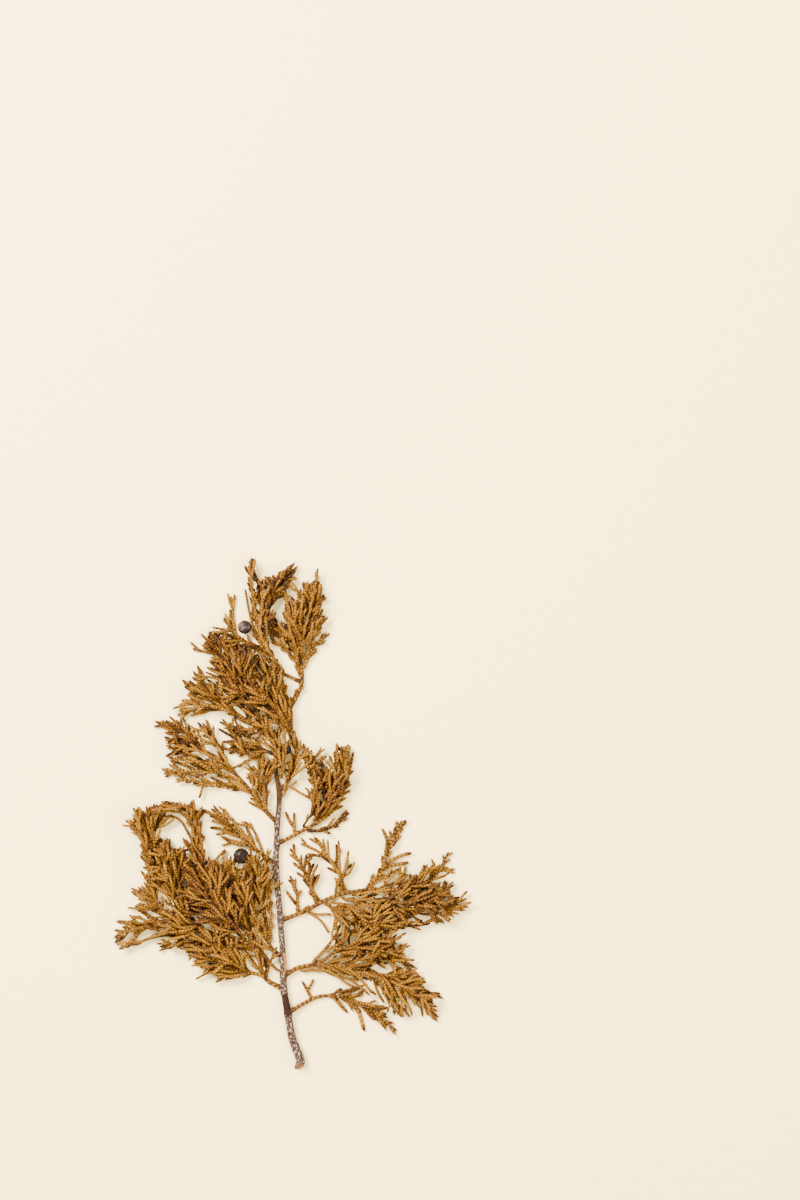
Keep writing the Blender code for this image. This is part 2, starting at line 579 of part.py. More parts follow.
def solid(name, corners, faces, material, smooth=False):
    """A new object from corners in millimetres, with its faces pointing out."""
    mesh = bpy.data.meshes.new(name)
    mesh.from_pydata([c * MM for c in corners], [], faces)
    shape = bmesh.new()
    shape.from_mesh(mesh)
    bmesh.ops.recalc_face_normals(shape, faces=shape.faces)
    shape.to_mesh(mesh)
    shape.free()
    mesh.materials.append(shade(material))
    if smooth:
        mesh.shade_smooth()
    thing = bpy.data.objects.new(name, mesh)
    bpy.context.scene.collection.objects.link(thing)
    return thing


def fused(name, twigs, material):
    """One closed solid from a spray's overlapping twigs."""
    for turn, solver in enumerate(("EXACT", "MANIFOLD", "EXACT", "MANIFOLD")):
        dice = random.Random(f"{name} roll {turn}")
        joined = joined_twigs(name, twigs, material, solver, dice)
        keep_one_piece(joined.data)
        if is_closed(joined.data):
            return joined
        bpy.data.objects.remove(joined)
    raise ValueError(name + " does not close")


def joined_twigs(name, twigs, material, solver, dice):
    """The union of a spray's twigs, each rolled a little about its own line."""
    base = solid(name, *tube(twigs[0], TWIG_SIDES, dice.uniform(-ROLL, ROLL)), material)
    if len(twigs) == 1:
        return base
    bundle = bpy.data.collections.new(name + "_twigs")
    bpy.context.scene.collection.children.link(bundle)
    for k, twig in enumerate(twigs[1:]):
        part = solid(f"{name}_twig_{k}", *tube(twig, TWIG_SIDES, dice.uniform(-ROLL, ROLL)), material)
        bpy.context.scene.collection.objects.unlink(part)
        bundle.objects.link(part)
    union = base.modifiers.new("join", "BOOLEAN")
    union.operation = "UNION"
    union.operand_type = "COLLECTION"
    union.collection = bundle
    union.solver = solver
    viewed = base.evaluated_get(bpy.context.evaluated_depsgraph_get())
    joined = bpy.data.meshes.new_from_object(viewed)
    base.modifiers.remove(union)
    base.data = joined
    for part in list(bundle.objects):
        bpy.data.objects.remove(part)
    bpy.data.collections.remove(bundle)
    return base


def keep_one_piece(mesh):
    """Keeps the largest closed piece of a mesh: sealed hollows are filled, loose scraps go."""
    shape = bmesh.new()
    shape.from_mesh(mesh)
    bmesh.ops.remove_doubles(shape, verts=shape.verts, dist=WELD * MM)
    bmesh.ops.dissolve_degenerate(shape, edges=shape.edges, dist=WELD * MM)
    bmesh.ops.triangulate(shape, faces=shape.faces)
    unseen = set(shape.faces)
    pieces = []
    while unseen:
        piece = [unseen.pop()]
        for face in piece:
            for edge in face.edges:
                for other in edge.link_faces:
                    if other in unseen:
                        unseen.remove(other)
                        piece.append(other)
        pieces.append(piece)
    pieces.sort(key=len)
    for piece in pieces[:-1]:
        bmesh.ops.delete(shape, geom=piece, context="FACES")
    shape.to_mesh(mesh)
    shape.free()


def is_closed(mesh):
    """Whether the mesh is one simple skin round a volume."""
    shape = bmesh.new()
    shape.from_mesh(mesh)
    closed = all(edge.is_manifold for edge in shape.edges) and all(v.is_manifold for v in shape.verts)
    closed = closed and shape.calc_volume(signed=True) > 0
    shape.free()
    return closed


def cone_solid(cone):
    """A seed cone: a slightly flattened ball."""
    centre = Vector(cone_centre(cone))
    radius = cone.width / 2
    corners = [centre + Vector((0, 0, -radius * CONE_FLATTENING))]
    for k in range(1, CONE_RINGS):
        tilt = math.pi * k / CONE_RINGS
        for j in range(CONE_SIDES):
            turn = 2 * math.pi * j / CONE_SIDES
            corners.append(centre + radius * Vector((
                math.sin(tilt) * math.cos(turn), math.sin(tilt) * math.sin(turn),
                -math.cos(tilt) * CONE_FLATTENING)))
    corners.append(centre + Vector((0, 0, radius * CONE_FLATTENING)))
    top = len(corners) - 1
    faces = []
    for j in range(CONE_SIDES):
        following = (j + 1) % CONE_SIDES
        faces.append((0, 1 + following, 1 + j))
        for k in range(CONE_RINGS - 2):
            low = 1 + k * CONE_SIDES
            faces.append((low + j, low + following, low + CONE_SIDES + following, low + CONE_SIDES + j))
        last = 1 + (CONE_RINGS - 2) * CONE_SIDES
        faces.append((last + j, last + following, top))
    return solid(cone.name, corners, faces, "cone_skin", smooth=True)


def stand_on_origin(things):
    """Moves every mesh so that the middle of the whole branch's underside is the origin."""
    corners = np.array([v.co[:] for thing in things for v in thing.data.vertices])
    low, high = corners.min(0), corners.max(0)
    shift = Vector((-(low[0] + high[0]) / 2, -(low[1] + high[1]) / 2, -low[2]))
    for thing in things:
        for vertex in thing.data.vertices:
            vertex.co += shift


def main():
    for thing in list(bpy.data.objects):
        bpy.data.objects.remove(thing)
    grown, sprays = grow()
    things = [solid(STEM, *tube(grown[STEM], STEM_SIDES, slant=CUT_SLANT), "bark")]
    for bough in BOUGHS:
        things.append(solid(bough.name, *tube(grown[bough.name], BOUGH_SIDES), "bark"))
    shades = ("brown_twig", "red_twig", "olive_twig")
    for k, spray in enumerate(SPRAYS):
        things.append(fused(spray.name, sprays[spray.name], shades[k % len(shades)]))
    for cone in CONES:
        things.append(cone_solid(cone))
    stand_on_origin(things)


if __name__ == "__main__":
    main()
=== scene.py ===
"""A pressed and dried branch of Ashe juniper, lying flat under a camera that looks down on it.

The solids of the frame give the stem, the boughs and the masses of leafy twigs. The rule that grew
them is written again here, so every twig has the place that it has there, and each spray then
gets the finer twigs that thread between the others. Round twigs are covered in scale leaves, the
stem and boughs get bark with relief, and the seed cones their wrinkled skin.

Lengths are millimetres in the growing rule and in the tables of sizes. Places there are measured
from the middle of the cut end: x to the right, y towards the tip.
"""

import math
import random
from collections import namedtuple

import bmesh
import bpy
import numpy as np
from mathutils import Matrix, Vector, noise


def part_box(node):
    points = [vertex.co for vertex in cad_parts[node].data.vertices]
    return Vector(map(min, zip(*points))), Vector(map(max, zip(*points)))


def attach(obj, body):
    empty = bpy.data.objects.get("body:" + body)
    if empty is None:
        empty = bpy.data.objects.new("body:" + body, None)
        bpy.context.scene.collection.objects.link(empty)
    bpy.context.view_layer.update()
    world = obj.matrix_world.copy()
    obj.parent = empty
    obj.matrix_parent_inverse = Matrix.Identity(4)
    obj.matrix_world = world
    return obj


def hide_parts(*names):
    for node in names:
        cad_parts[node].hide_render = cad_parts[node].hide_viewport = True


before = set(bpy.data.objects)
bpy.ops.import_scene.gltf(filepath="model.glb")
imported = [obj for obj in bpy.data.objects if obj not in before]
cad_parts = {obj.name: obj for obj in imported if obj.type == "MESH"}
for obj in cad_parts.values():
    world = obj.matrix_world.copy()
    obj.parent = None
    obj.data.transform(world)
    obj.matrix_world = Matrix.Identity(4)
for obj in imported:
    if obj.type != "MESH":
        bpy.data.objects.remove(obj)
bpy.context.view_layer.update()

MM = 0.001
BODY = "root"

# The growing rule's sizes, as in the solids
PRESSED_THICKNESS = 8.6  # nothing lies higher than this
GAP = 0.34  # clear space between two solids
OWN_GAP = 0.1  # clear space between two twigs of one spray
CLOSEST = 0.05  # how far a twig may come short of its height over another
ROOT_ROOM = 1.7  # a twig may meet others of its spray this near its root
FOOT_ROOM = 2.3  # kept free round the foot of each spray still to come
STEEPEST = 0.75  # rise of a twig over its length
STEEPEST_LIMB = 1.2  # the same for a bough or stalk
LIFTING_ROUNDS = 12  # times that a twig is tried against what it lies on
SAMPLE = 0.7  # spacing of the places where a twig is tested against what lies below
NEAR_FOOT = 0.02  # share of a twig's first stretch that can't be lifted
LEAST_SINE = 0.3  # of the angle between a limb and its carrier
LOW = 0.75  # height of the middle line of a twig on the ground, as a share of its radius

WAY_STEP = 0.05  # how finely a way is smoothed, as a share of the stretch between two corners
BOUGH_BEND = 4.4  # distance between the bends of a bough
STEM_BEND = 8.5
TWIG_BEND = 6.5
TWIG_RADIUS = 0.64  # of a leafy twig, with its scale leaves
ROOT_RADIUS = 0.36  # of a twig where it leaves its stalk
TIP_SHARE = 0.8  # of a twig's radius at its tip
STALK_RADIUS = 0.74  # of a spray's main stalk at its foot
STALK_TIP_RADIUS = 0.54
CONE_STALK_RADIUS = 0.45
LEAST_TWIG = 2.6  # a shorter twig is left out
FIRST_TWIG = 1.6  # from a stalk's foot to its first side twig
LAST_TWIG = 2.0  # from the last side twig to the stalk's tip
PAST_TIP = 0.8  # how far a side twig may reach past the stalk's tip
CURL = 0.32  # how much of its angle a twig turns back towards its stalk's direction
SHOOT_BOW = 0.06  # how far a single shoot bows, over its length
ROOT_HEIGHTS = (-0.06, 0.14)  # of side twigs above or below the middle of their stalk
SECOND_START = 3.6  # from a side twig's root to its own first twig, and from its last to its tip
SECOND_END = 3.2
SECOND_PITCH = 3.6
SECOND_SPLAY = 31  # degrees
SECOND_RADIUS = 0.6
SECOND_LONGEST = 7.6
SECOND_SHORTEST = 1.6
SECOND_SHARE = 0.72  # of the length that is left of the side twig

# The least and most that the dice give, as shares of a twig's length, its angle and the pitch
Spread = namedtuple("Spread", "length angle pitch")
SIDE_SPREAD = Spread((0.82, 1.08), (0.85, 1.2), (0.85, 1.15))
SECOND_SPREAD = Spread((0.8, 1.05), (0.85, 1.15), (0.88, 1.12))
RANK_SPREAD = Spread((0.62, 0.92), (0.85, 1.1), None)
FINE_SPREAD = Spread((0.7, 1.1), (0.7, 1.25), (0.85, 1.15))
FILLING_SPREAD = Spread((0.8, 1.1), (0.8, 1.2), (0.85, 1.15))
CURL_SPREAD = (0.4, 1.3)
FINE_CURL_SPREAD = (0.6, 1.9)
FINE_RADIUS_SPREAD = (0.9, 1.06)
FINE_FIRST_SPREAD = (0.7, 1.3)

# How the side twigs lengthen from a spray's foot and shorten to its tip: the share at the foot
# and its growth along the stalk, then the fall towards the tip and the share at the tip
FORMS = {
    "feather": (0.55, 2.0, 2.6, 0.35),
    "fan": (0.25, 1.1, 2.6, 0.55),
    "plume": (0.62, 1.6, 1.25, 0.32),
}

STEM = "main_stem"
# The stem's middle line and its thickness along it, from the cut end to the leader's tip
STEM_WAY = (
    (0.0, 0.0), (0.2, 3.0), (-2.7, 10.9), (-4.5, 21.0), (-5.9, 30.3), (-6.2, 42.1), (-7.3, 56.6),
    (-8.6, 74.2), (-8.4, 87.3), (-7.6, 100.9), (-8.8, 111.2), (-8.5, 122.0), (-5.2, 130.5),
    (-1.5, 137.5), (0.9, 143.6), (0.6, 152.8),
)
STEM_THICKNESS = ((0, 3.5), (14, 2.9), (30, 2.45), (80, 2.15), (102, 1.95), (114, 1.6), (160, 1.25))

# A bough leaves its carrier at a distance along it, passes through its way and tapers
Bough = namedtuple("Bough", "name on at way foot tip")
BOUGHS = (
    Bough("left_low_bough", STEM, 29.3, ((-10.4, 31.0), (-14.2, 34.3)), 1.9, 1.5),
    Bough("left_long_bough", "left_low_bough", 5.0,
          ((-12.3, 40.3), (-17.8, 45.0), (-26.8, 48.6), (-38.5, 48.2), (-48.4, 52.0)), 1.6, 1.25),
    Bough("left_inner_bough", STEM, 40.0, ((-10.9, 45.0), (-12.0, 51.0), (-12.9, 56.6)), 1.5, 1.3),
    Bough("left_mid_bough", STEM, 76.0, ((-12.0, 77.8), (-14.6, 79.8)), 1.5, 1.3),
    Bough("left_high_bough", STEM, 91.0, ((-14.3, 97.5), (-18.9, 103.8), (-24.6, 110.2)), 1.7, 1.3),
    Bough("arched_bough", "left_long_bough", 20.5,
          ((-31.6, 56.5), (-34.6, 66.0), (-36.4, 78.8)), 1.4, 1.2),
    Bough("right_low_bough", STEM, 20.3, ((0.6, 22.9), (5.4, 25.5), (11.2, 26.7)), 1.7, 1.3),
    Bough("right_lower_bough", STEM, 34.3, ((0.1, 37.1), (7.0, 38.2)), 1.8, 1.5),
    Bough("right_long_bough", "right_lower_bough", 99, ((17.0, 37.6), (27.0, 36.0)), 1.5, 1.3),
    Bough("right_rising_bough", "right_long_bough", 5.0,
          ((17.5, 42.4), (27.2, 49.8), (40.6, 55.6)), 1.4, 1.2),
    Bough("right_mid_bough", STEM, 55.0,
          ((2.4, 58.3), (10.1, 62.4), (17.4, 64.9), (27.2, 66.5)), 1.7, 1.3),
    Bough("right_high_bough", STEM, 83.5, ((-1.5, 86.8), (7.0, 91.2)), 1.6, 1.3),
    Bough("right_top_bough", STEM, 102.0, ((-3.6, 107.6), (-1.6, 114.4), (-0.9, 121.8)), 1.6, 1.3),
    Bough("upper_left_bough", STEM, 124.5, ((-12.0, 125.6), (-16.4, 127.0), (-20.6, 130.0)), 1.4, 1.2),
    Bough("crown_left_bough", STEM, 146.5, ((-8.2, 148.3), (-14.2, 155.0)), 1.4, 1.2),
)

# A spray's main stalk leaves its bough or the stem as a bough does. Its side twigs reach as far
# as left and right say, seen along the stalk, at splay degrees to it and pitch apart. A feather
# keeps its width, a plume narrows towards its tip and a fan widens. Shoots are single side twigs:
# the distance along the stalk, and where the tip lies.
Spray = namedtuple("Spray", "name on at way left right splay pitch form shoots",
                   defaults=(34, 2.1, "plume", ()))
SPRAYS = (
    Spray("left_edge_spray", "left_long_bough", 11.5,
          ((-25.6, 45.6), (-34.0, 44.8), (-43.0, 46.6), (-52.3, 44.7)), 8, 1.5, 27, 2.4,
          shoots=((23.5, -52.2, 43.4), (14.5, -43.6, 39.8))),
    Spray("left_low_spray", "left_low_bough", 99,
          ((-22.3, 36.2), (-31.0, 40.0), (-38.4, 42.9)), 13, 17, 34,
          shoots=((11.0, -29.8, 31.6), (15.5, -36.1, 35.0))),
    Spray("left_far_spray", "left_long_bough", 99,
          ((-56.5, 53.4), (-62.6, 51.8), (-66.8, 49.6), (-69.1, 46.1)), 8, 8, 26,
          shoots=((8.0, -68.8, 54.2), (1.5, -62.6, 61.0), (5.0, -65.4, 44.7))),
    Spray("left_fan_spray", "left_long_bough", 37.0,
          ((-53.6, 59.5), (-53.9, 70.0), (-54.6, 83.0), (-58.4, 95.6)), 13, 13, 30, 2.0, "fan",
          ((7.0, -66.6, 63.6), (9.0, -60.6, 67.2), (13.5, -57.4, 72.4))),
    Spray("arch_spray", "arched_bough", 99,
          ((-38.0, 86.0), (-40.0, 93.0), (-44.2, 97.4), (-51.9, 99.0)), 1, 8.5, 30, 1.2, "feather",
          ((1.5, -44.6, 84.2),)),
    Spray("left_inner_spray", "left_inner_bough", 99,
          ((-14.2, 62.5), (-16.4, 69.0), (-17.6, 75.4)), 11, 12, 26, 1.9, "feather"),
    Spray("left_rising_spray", "left_long_bough", 29.5,
          ((-42.6, 54.5), (-45.0, 63.0), (-47.0, 72.0), (-50.1, 83.9)), 15, 15, 25, 2.0),
    Spray("left_heart_spray", "left_long_bough", 8.0,
          ((-17.8, 51.0), (-21.2, 58.5), (-25.5, 66.5), (-30.2, 75.0)), 15, 15, 26, 1.9),
    Spray("left_core_spray", "left_long_bough", 13.5,
          ((-24.6, 54.0), (-30.0, 61.0), (-35.0, 68.5), (-38.6, 76.0)), 15, 15, 27, 1.9),
    Spray("left_mid_spray", "left_mid_bough", 99,
          ((-20.6, 84.2), (-26.8, 91.3), (-32.3, 97.7)), 11, 4, 26, 2.2,
          shoots=((1.2, -12.3, 85.2), (2.2, -20.0, 89.6), (9.0, -36.5, 90.2), (15.0, -36.6, 96.4))),
    Spray("left_high_spray", "left_high_bough", 99,
          ((-30.4, 114.8), (-36.9, 119.3), (-42.3, 124.4), (-46.0, 129.7)), 14, 9, 33, 1.9,
          shoots=((3.2, -35.0, 129.9), (6.0, -39.9, 129.4), (22.5, -54.7, 127.1))),
    Spray("left_high_low_spray", "left_high_bough", 16.0,
          ((-28.0, 109.6), (-36.9, 110.8), (-50.8, 109.5)), 6, 12, 28, 1.9),
    Spray("left_high_edge_spray", "left_high_bough", 12.0,
          ((-24.5, 104.8), (-34.0, 106.2), (-46.3, 107.6)), 5, 6, 26, 2.2,
          shoots=((15.0, -38.3, 98.3), (19.0, -40.6, 103.5))),
    Spray("left_high_inner_spray", "left_high_bough", 4.0,
          ((-13.0, 101.0), (-14.2, 106.0), (-17.4, 112.6)), 8, 10, 26, 1.8, "feather"),
    Spray("right_low_spray", "right_low_bough", 99,
          ((18.5, 25.4), (25.0, 21.8), (36.5, 13.3)), 8, 8, 26, 2.2,
          shoots=((1.0, 18.3, 19.9), (2.0, 25.2, 30.6), (6.5, 24.4, 12.9), (9.5, 32.2, 22.4),
                  (14.0, 32.8, 14.6))),
    Spray("right_low_fork", "right_low_bough", 8.2, ((3.0, 29.2), (1.0, 31.9)), 1, 1, 30, 9,
          shoots=((2.4, 5.4, 32.9),)),
    Spray("right_reach_spray", "right_long_bough", 99,
          ((35.8, 30.6), (42.5, 26.4), (52.1, 18.3)), 15, 14, 28, 2.0,
          shoots=((12.0, 52.9, 27.2), (21.5, 46.1, 18.4), (3.5, 38.2, 18.4))),
    Spray("right_middle_spray", "right_long_bough", 12.5,
          ((25.6, 38.9), (32.0, 40.6), (39.2, 40.2)), 9, 8, 28, 1.7, shoots=((11.0, 43.6, 36.9),)),
    Spray("right_heart_spray", "right_lower_bough", 10.0,
          ((12.6, 41.6), (18.5, 45.6), (29.6, 44.8), (36.0, 47.0)), 11, 9, 26, 1.8),
    Spray("right_climb_spray", "right_lower_bough", 8.4,
          ((7.4, 41.8), (11.8, 46.4), (15.6, 53.6)), 2.6, 8, 24, 2.6),
    Spray("right_tip_spray", "right_rising_bough", 99,
          ((46.0, 58.4), (52.5, 60.2), (62.5, 59.9)), 10, 10, 28, 1.8,
          shoots=((7.5, 54.4, 51.4), (1.6, 46.4, 51.6))),
    Spray("right_mid_spray", "right_mid_bough", 99,
          ((36.7, 66.2), (45.3, 67.2), (51.3, 72.4), (55.8, 80.2)), 11, 10, 32, 1.8,
          shoots=((8.5, 40.4, 72.2), (13.5, 42.9, 77.4), (15.0, 48.0, 79.9))),
    Spray("right_spur_spray", "right_mid_bough", 31.5,
          ((31.0, 74.0), (33.2, 81.6), (38.3, 91.9)), 6, 7, 26, 2.0, "fan",
          ((7.0, 41.0, 76.4), (10.0, 42.2, 79.9), (16.6, 30.8, 89.2))),
    Spray("right_far_spray", "right_mid_bough", 26.5,
          ((28.0, 62.4), (38.0, 61.8), (48.0, 64.0), (57.9, 67.9)), 8, 11, 28, 1.7),
    Spray("right_under_spray", "right_mid_bough", 15.5,
          ((13.4, 58.6), (19.0, 54.6), (28.0, 53.4), (37.5, 53.0)), 11, 5, 26, 1.9,
          shoots=((1.5, 14.4, 50.4),)),
    Spray("right_high_low_spray", "right_high_bough", 9.0,
          ((5.2, 87.6), (12.4, 89.6), (18.6, 95.0)), 7, 3.2, 30, 2.2,
          shoots=((2.0, 15.4, 86.6), (7.4, 15.5, 91.0))),
    Spray("upright_shoots", "right_high_bough", 5.6, ((-2.5, 90.6), (-2.0, 95.1)), 1, 1, 30, 9,
          shoots=((0.9, -5.2, 95.5),)),
    Spray("right_high_spray", "right_high_bough", 99,
          ((13.4, 96.8), (17.9, 107.0), (20.2, 117.6)), 22, 5, 34, 1.5),
    Spray("right_high_inner_spray", "right_high_bough", 13.5,
          ((7.2, 98.5), (4.2, 108.5), (1.3, 117.9)), 4, 13, 24, 1.9),
    Spray("outer_feather", "right_mid_bough", 23.6,
          ((15.4, 71.4), (10.2, 78.6), (0.4, 83.4)), 6.5, 11, 30, 2.2, "feather"),
    Spray("inner_feather", "right_mid_bough", 13.0,
          ((4.4, 66.4), (0.2, 76.0), (-3.6, 81.6)), 5.2, 9, 28, 1.9, "feather"),
    Spray("near_feather", "right_mid_bough", 4.6, ((-0.2, 62.5), (-3.6, 71.4)), 5, 5, 30, 2.0,
          shoots=((2.0, -5.2, 66.0),)),
    Spray("leader_left_spray", STEM, 153.0,
          ((-2.4, 156.5), (-7.5, 161.6), (-16.0, 164.4)), 5, 13, 30, 1.7),
    Spray("upper_left_spray", "upper_left_bough", 99,
          ((-27.5, 134.6), (-35.0, 137.4), (-43.2, 142.2)), 7, 10, 28, 1.9,
          shoots=((6.5, -45.1, 133.4), (9.0, -44.6, 136.9), (14.0, -39.8, 148.1))),
    Spray("upper_rising_spray", "upper_left_bough", 6.5,
          ((-15.8, 132.0), (-20.6, 141.5), (-26.4, 151.0), (-33.9, 160.4)), 14, 15, 26, 1.8,
          shoots=((26.0, -40.4, 156.4),)),
    Spray("upper_low_spray", STEM, 117.0, ((-13.5, 119.0), (-21.0, 121.4), (-30.4, 126.4)), 9, 8, 28, 1.9,
          shoots=((2.0, -25.4, 111.4), (4.0, -26.6, 117.0))),
    Spray("right_top_spray", "right_top_bough", 99,
          ((-3.0, 127.0), (-7.0, 135.0), (-11.5, 144.0), (-16.5, 151.5)), 14, 11, 25, 1.8),
    Spray("crown_left_spray", "crown_left_bough", 99,
          ((-19.4, 158.4), (-24.6, 162.2), (-28.4, 168.0)), 9, 4, 26, 1.8,
          shoots=((11.0, -24.2, 176.8),)),
    Spray("crown_top_spray", "crown_left_bough", 10.5,
          ((-12.8, 160.5), (-11.6, 170.0), (-8.0, 178.4), (-3.2, 185.6)), 16, 7, 24, 1.6, "feather",
          ((8.0, -18.4, 188.0), (16.0, -7.2, 185.4))),
    Spray("leader_spray", STEM, 999,
          ((1.2, 160.0), (4.4, 172.0), (6.9, 184.0)), 18, 11, 25, 1.5,
          shoots=((6.0, 9.8, 168.8), (12.0, 9.2, 177.0))),
    Spray("leader_right_spray", STEM, 150.5, ((4.2, 152.0), (5.4, 157.0), (11.4, 162.1)), 5, 4, 28, 2.4),
)

# A seed cone stands on a short stalk that leaves its spray at a distance along it
Cone = namedtuple("Cone", "name x y width spray at")
CONES = (
    Cone("crown_seed_cone", -20.4, 164.4, 5.3, "crown_left_spray", 4.2),
    Cone("left_seed_cone", -21.7, 78.9, 6.0, "left_mid_spray", 3.2),
    Cone("upper_seed_cone", -5.1, 118.6, 4.3, "right_top_spray", 1.0),
)
CONE_FLATTENING = 0.92

CONE_WRINKLES = (0.35, 1.0, 0.6)  # how deep the creases and folds of each are
# A cone's skin, over the size of its solid, with its bulges, creases, folds and pits
CONE_SKIN = 0.99
BULGE_SCALE = 1.3
BULGE = 0.05
CREASE_SCALE = 2.6
CREASE_WIDTH = 0.26
CREASE_DEPTH = 1.5
CREASE_POWER = 1.2
FOLD_SCALE = 6.5
FOLD_WIDTH = 0.16
FOLD_DEPTH = 0.5
PIT_SCALE = 16
PIT = 0.012

# Finer twigs, which thread between what lies over and under them
FINE_RADIUS = 0.56
FINE_ROOT_RADIUS = 0.34
FINE_STEP = 0.8  # distance between the bends of a fine twig
FINE_STEEPEST = 0.85
FINE_GAP = -0.3  # pressed twigs sink a little into one another
FINE_START = 5  # levels by which a fine twig may leave its root's height at once
FINE_LEVEL = 0.12  # spacing of the heights that a fine twig may take
FINE_LEAST = 3.2  # a shorter one is left out
FINE_FIRST = 1.7  # from a twig's root to its first fine twig, and from its last to its tip
FINE_LAST = 3.4
FINE_APART = 0.9  # least distance between two roots on one twig
FINE_SPLAY = 25
FINE_BEYOND = 3.1  # how far past the solid twigs a finer one may reach
FOOT_REACH = 0.7  # a twig whose foot lies further than this from all others would hang loose
FINE_SHORTEST = 3.6
RANK_PITCH = 1.6  # least distance between the long side twigs set between a spray's own
RANK_STEP = 0.25  # between the places tried for them
FINE_SEARCH = 2.0  # how far past a fine twig's sides the pile is searched
AT_ROOT = 0.1  # a twig leaves another where its root lies this near the other's middle line,
PAST_END = 0.01  # and at most this share of a stretch past the stretch's ends
LONGER_STALK = 1.2  # how many times longer a moved foot has to make a loose spray's stalk
FILLING_TRIES = (0.0, 1.3, -1.3, 2.6, -2.6)  # moves of a loose spray's foot along its carrier
OPEN_SHARE = 1.26  # thickness of a drawn finger of an open spray, over the solid twig's
BOW = 0.05  # how far a drawn twig bows aside, over its length
DRAWN_SPREAD = (0.92, 1.04)  # of a drawn twig's thickness
ROOT_TAPER = ((0, 1.6), (0.75, 1.0))  # its thickness at distances from its root,
TIP_TAPER = ((0, 0.2, 0.5), (0.6, 0.9, 1.0))  # and from its tip
VISIBLE_STEP = 1.1  # distance between the bends of a drawn twig

# Scale leaves stand in pairs, each pair turned a quarter from the one before
LEAF_PITCH = 0.62
LEAF_LENGTH = 1.14
LEAF_WIDTH = 1.0
LEAF_THICKNESS = 0.16
LEAF_LIFT = 0.08  # of a leaf's tip off the twig
LEAF_WRAP = -0.1  # how far a leaf's edges lie below its middle, round the twig
TIP_LEAVES = 1.05  # how far before a twig's end its last leaves stand
CORE_SHARE = 0.86  # of a twig's radius that lies under its leaves
LEAF_DEPTH = 0.8  # of the twig's radius, where the leaves' undersides lie
CORE_SIDES = 6
FIRST_LEAVES = 0.2  # from a twig's root to its first leaves
LEAF_TILT = 0.03  # how far a leaf leans off its twig,
LAST_LEAF_TILT = 0.28  # and the last ones, which close over the tip
LAST_LEAVES = 1.8  # how many pitches the last ones take up
LEAF_BACK = 0.08  # how far a leaf starts behind its place
LEAF_FOOT = 0.7  # its width there, over its width in the middle
LEAF_WIDEST = 0.45  # where it is widest, and where its keel is highest, over its length
LEAF_KEEL = 0.52
LEAF_SIZES = {"Smallest": 0.9, "Largest": 1.12, "Seed": 5}
CORE_POINT = 0.2  # how thick a twig's core still is at its tip, under the last leaves

# The camera stands over the middle of the picture, in which the cut end has this place
PICTURE_WIDTH_PX = 800
PICTURE_HEIGHT_PX = 1200
CUT_END_X_PX = 299.5
CUT_END_Y_PX = 1066.0
MM_PER_PX = 1 / 2.67
CAMERA_LENS_MM = 85
SENSOR_MM = 36

# The limbs and their bark, as they are drawn
ROLL_SPREAD = 0.35  # how far a twig is rolled from where its leaves would face straight up
TIP_OVERLAP = 1.6  # how far a limb that carries on a bough starts before its end
AT_TIP = 0.99  # of the bough's last stretch, from where a limb counts as carrying it on
OUTWARD = 0.7  # share of the solid's foot in a drawn limb's second point,
INWARD = 0.3  # and of its carrier's middle
DRAWN_BOUGH = 0.95  # of the solid's thickness
GREY, BARE, DARK, CUT, BROWN = range(5)  # the stem's materials, in their order on its bark
CUT_SLANT = math.radians(24)
CUT_TILT = math.radians(32)
CUT_FADE = 2.5  # how far along the stem the slant of the cut fades out
LIMB_STEP = 0.5  # distance between the rings of a limb's skin
STEM_STEP = 0.45
STEM_SKIN_SIDES = 30
BOUGH_SKIN_SIDES = 14
STEM_RELIEF = 0.13  # height of the bark's ridges
BOUGH_RELIEF = 0.09
BARK_ROUND = 1.7  # how much of the relief's pattern goes once round a limb
# The relief's ridges, grain and lumps: how fine each is round and along the limb, and its share
BARK_RIDGES = ((1.8, 0.35, 0.9), (4.5, 1.1, 0.5), (0.5, 0.8, 0.5))
COLLAR_BACK = 0.35  # height of a collar on the side turned away from it
BOUGH_TAPER = ((0, 0.5, 2.5), (0.5, 0.78, 1.0))  # a bough's thickness at distances from its tip
NODE_RING_AT = 28.1
DARK_BARK = (19.6, 27.6)  # along the stem, where smooth dark bark shows
DARK_BARK_WAVE = 0.6  # how far its lower edge waves
PEELED = (34.4, 43.6)  # along the stem, where a strip of bark has come away on its right
PEELED_MIDDLE = math.radians(38)
PEELED_HALF = math.radians(42)
PEELED_EDGE = 0.35  # over how wide an angle the strip's edge falls off
PEELED_END = 1.6  # the same for its ends, along the stem
PEELED_WANDER = 0.25  # how far its edges wander
PEELED_DEPTH = 0.16
PEELED_SMOOTHING = 0.8  # how much of the bark's relief is gone from it

# Thickenings of a limb: where along it, on which side or all round, how high and how wide
Collar = namedtuple("Collar", "at side height width")
NODE_RING = (Collar(NODE_RING_AT, None, 0.2, 0.55), Collar(NODE_RING_AT - 0.9, None, -0.12, 0.5))
BOUGH_FOOT = Collar(1.2, None, 0.22, 1.3)
COLLAR_PAST = 0.5  # how far past a bough's foot the stem's collar round it lies

# The floor and the lights, in metres
FLOOR_COLOUR = (255, 228, 160)
FLOOR_HALF = 0.9
FLOOR_DEPTH = 0.00005
Light = namedtuple("Light", "name place size watts colour")
LIGHTS = (
    Light("key_light", (-0.75, 0.75, 0.95), 0.6, 115, (1.0, 0.955, 0.88)),
    Light("fill_light", (0.9, -0.3, 0.9), 1.2, 36, (1.0, 0.97, 0.92)),
)
ROOM_COLOUR = (1.0, 0.97, 0.93, 1)
ROOM_STRENGTH = 2.1

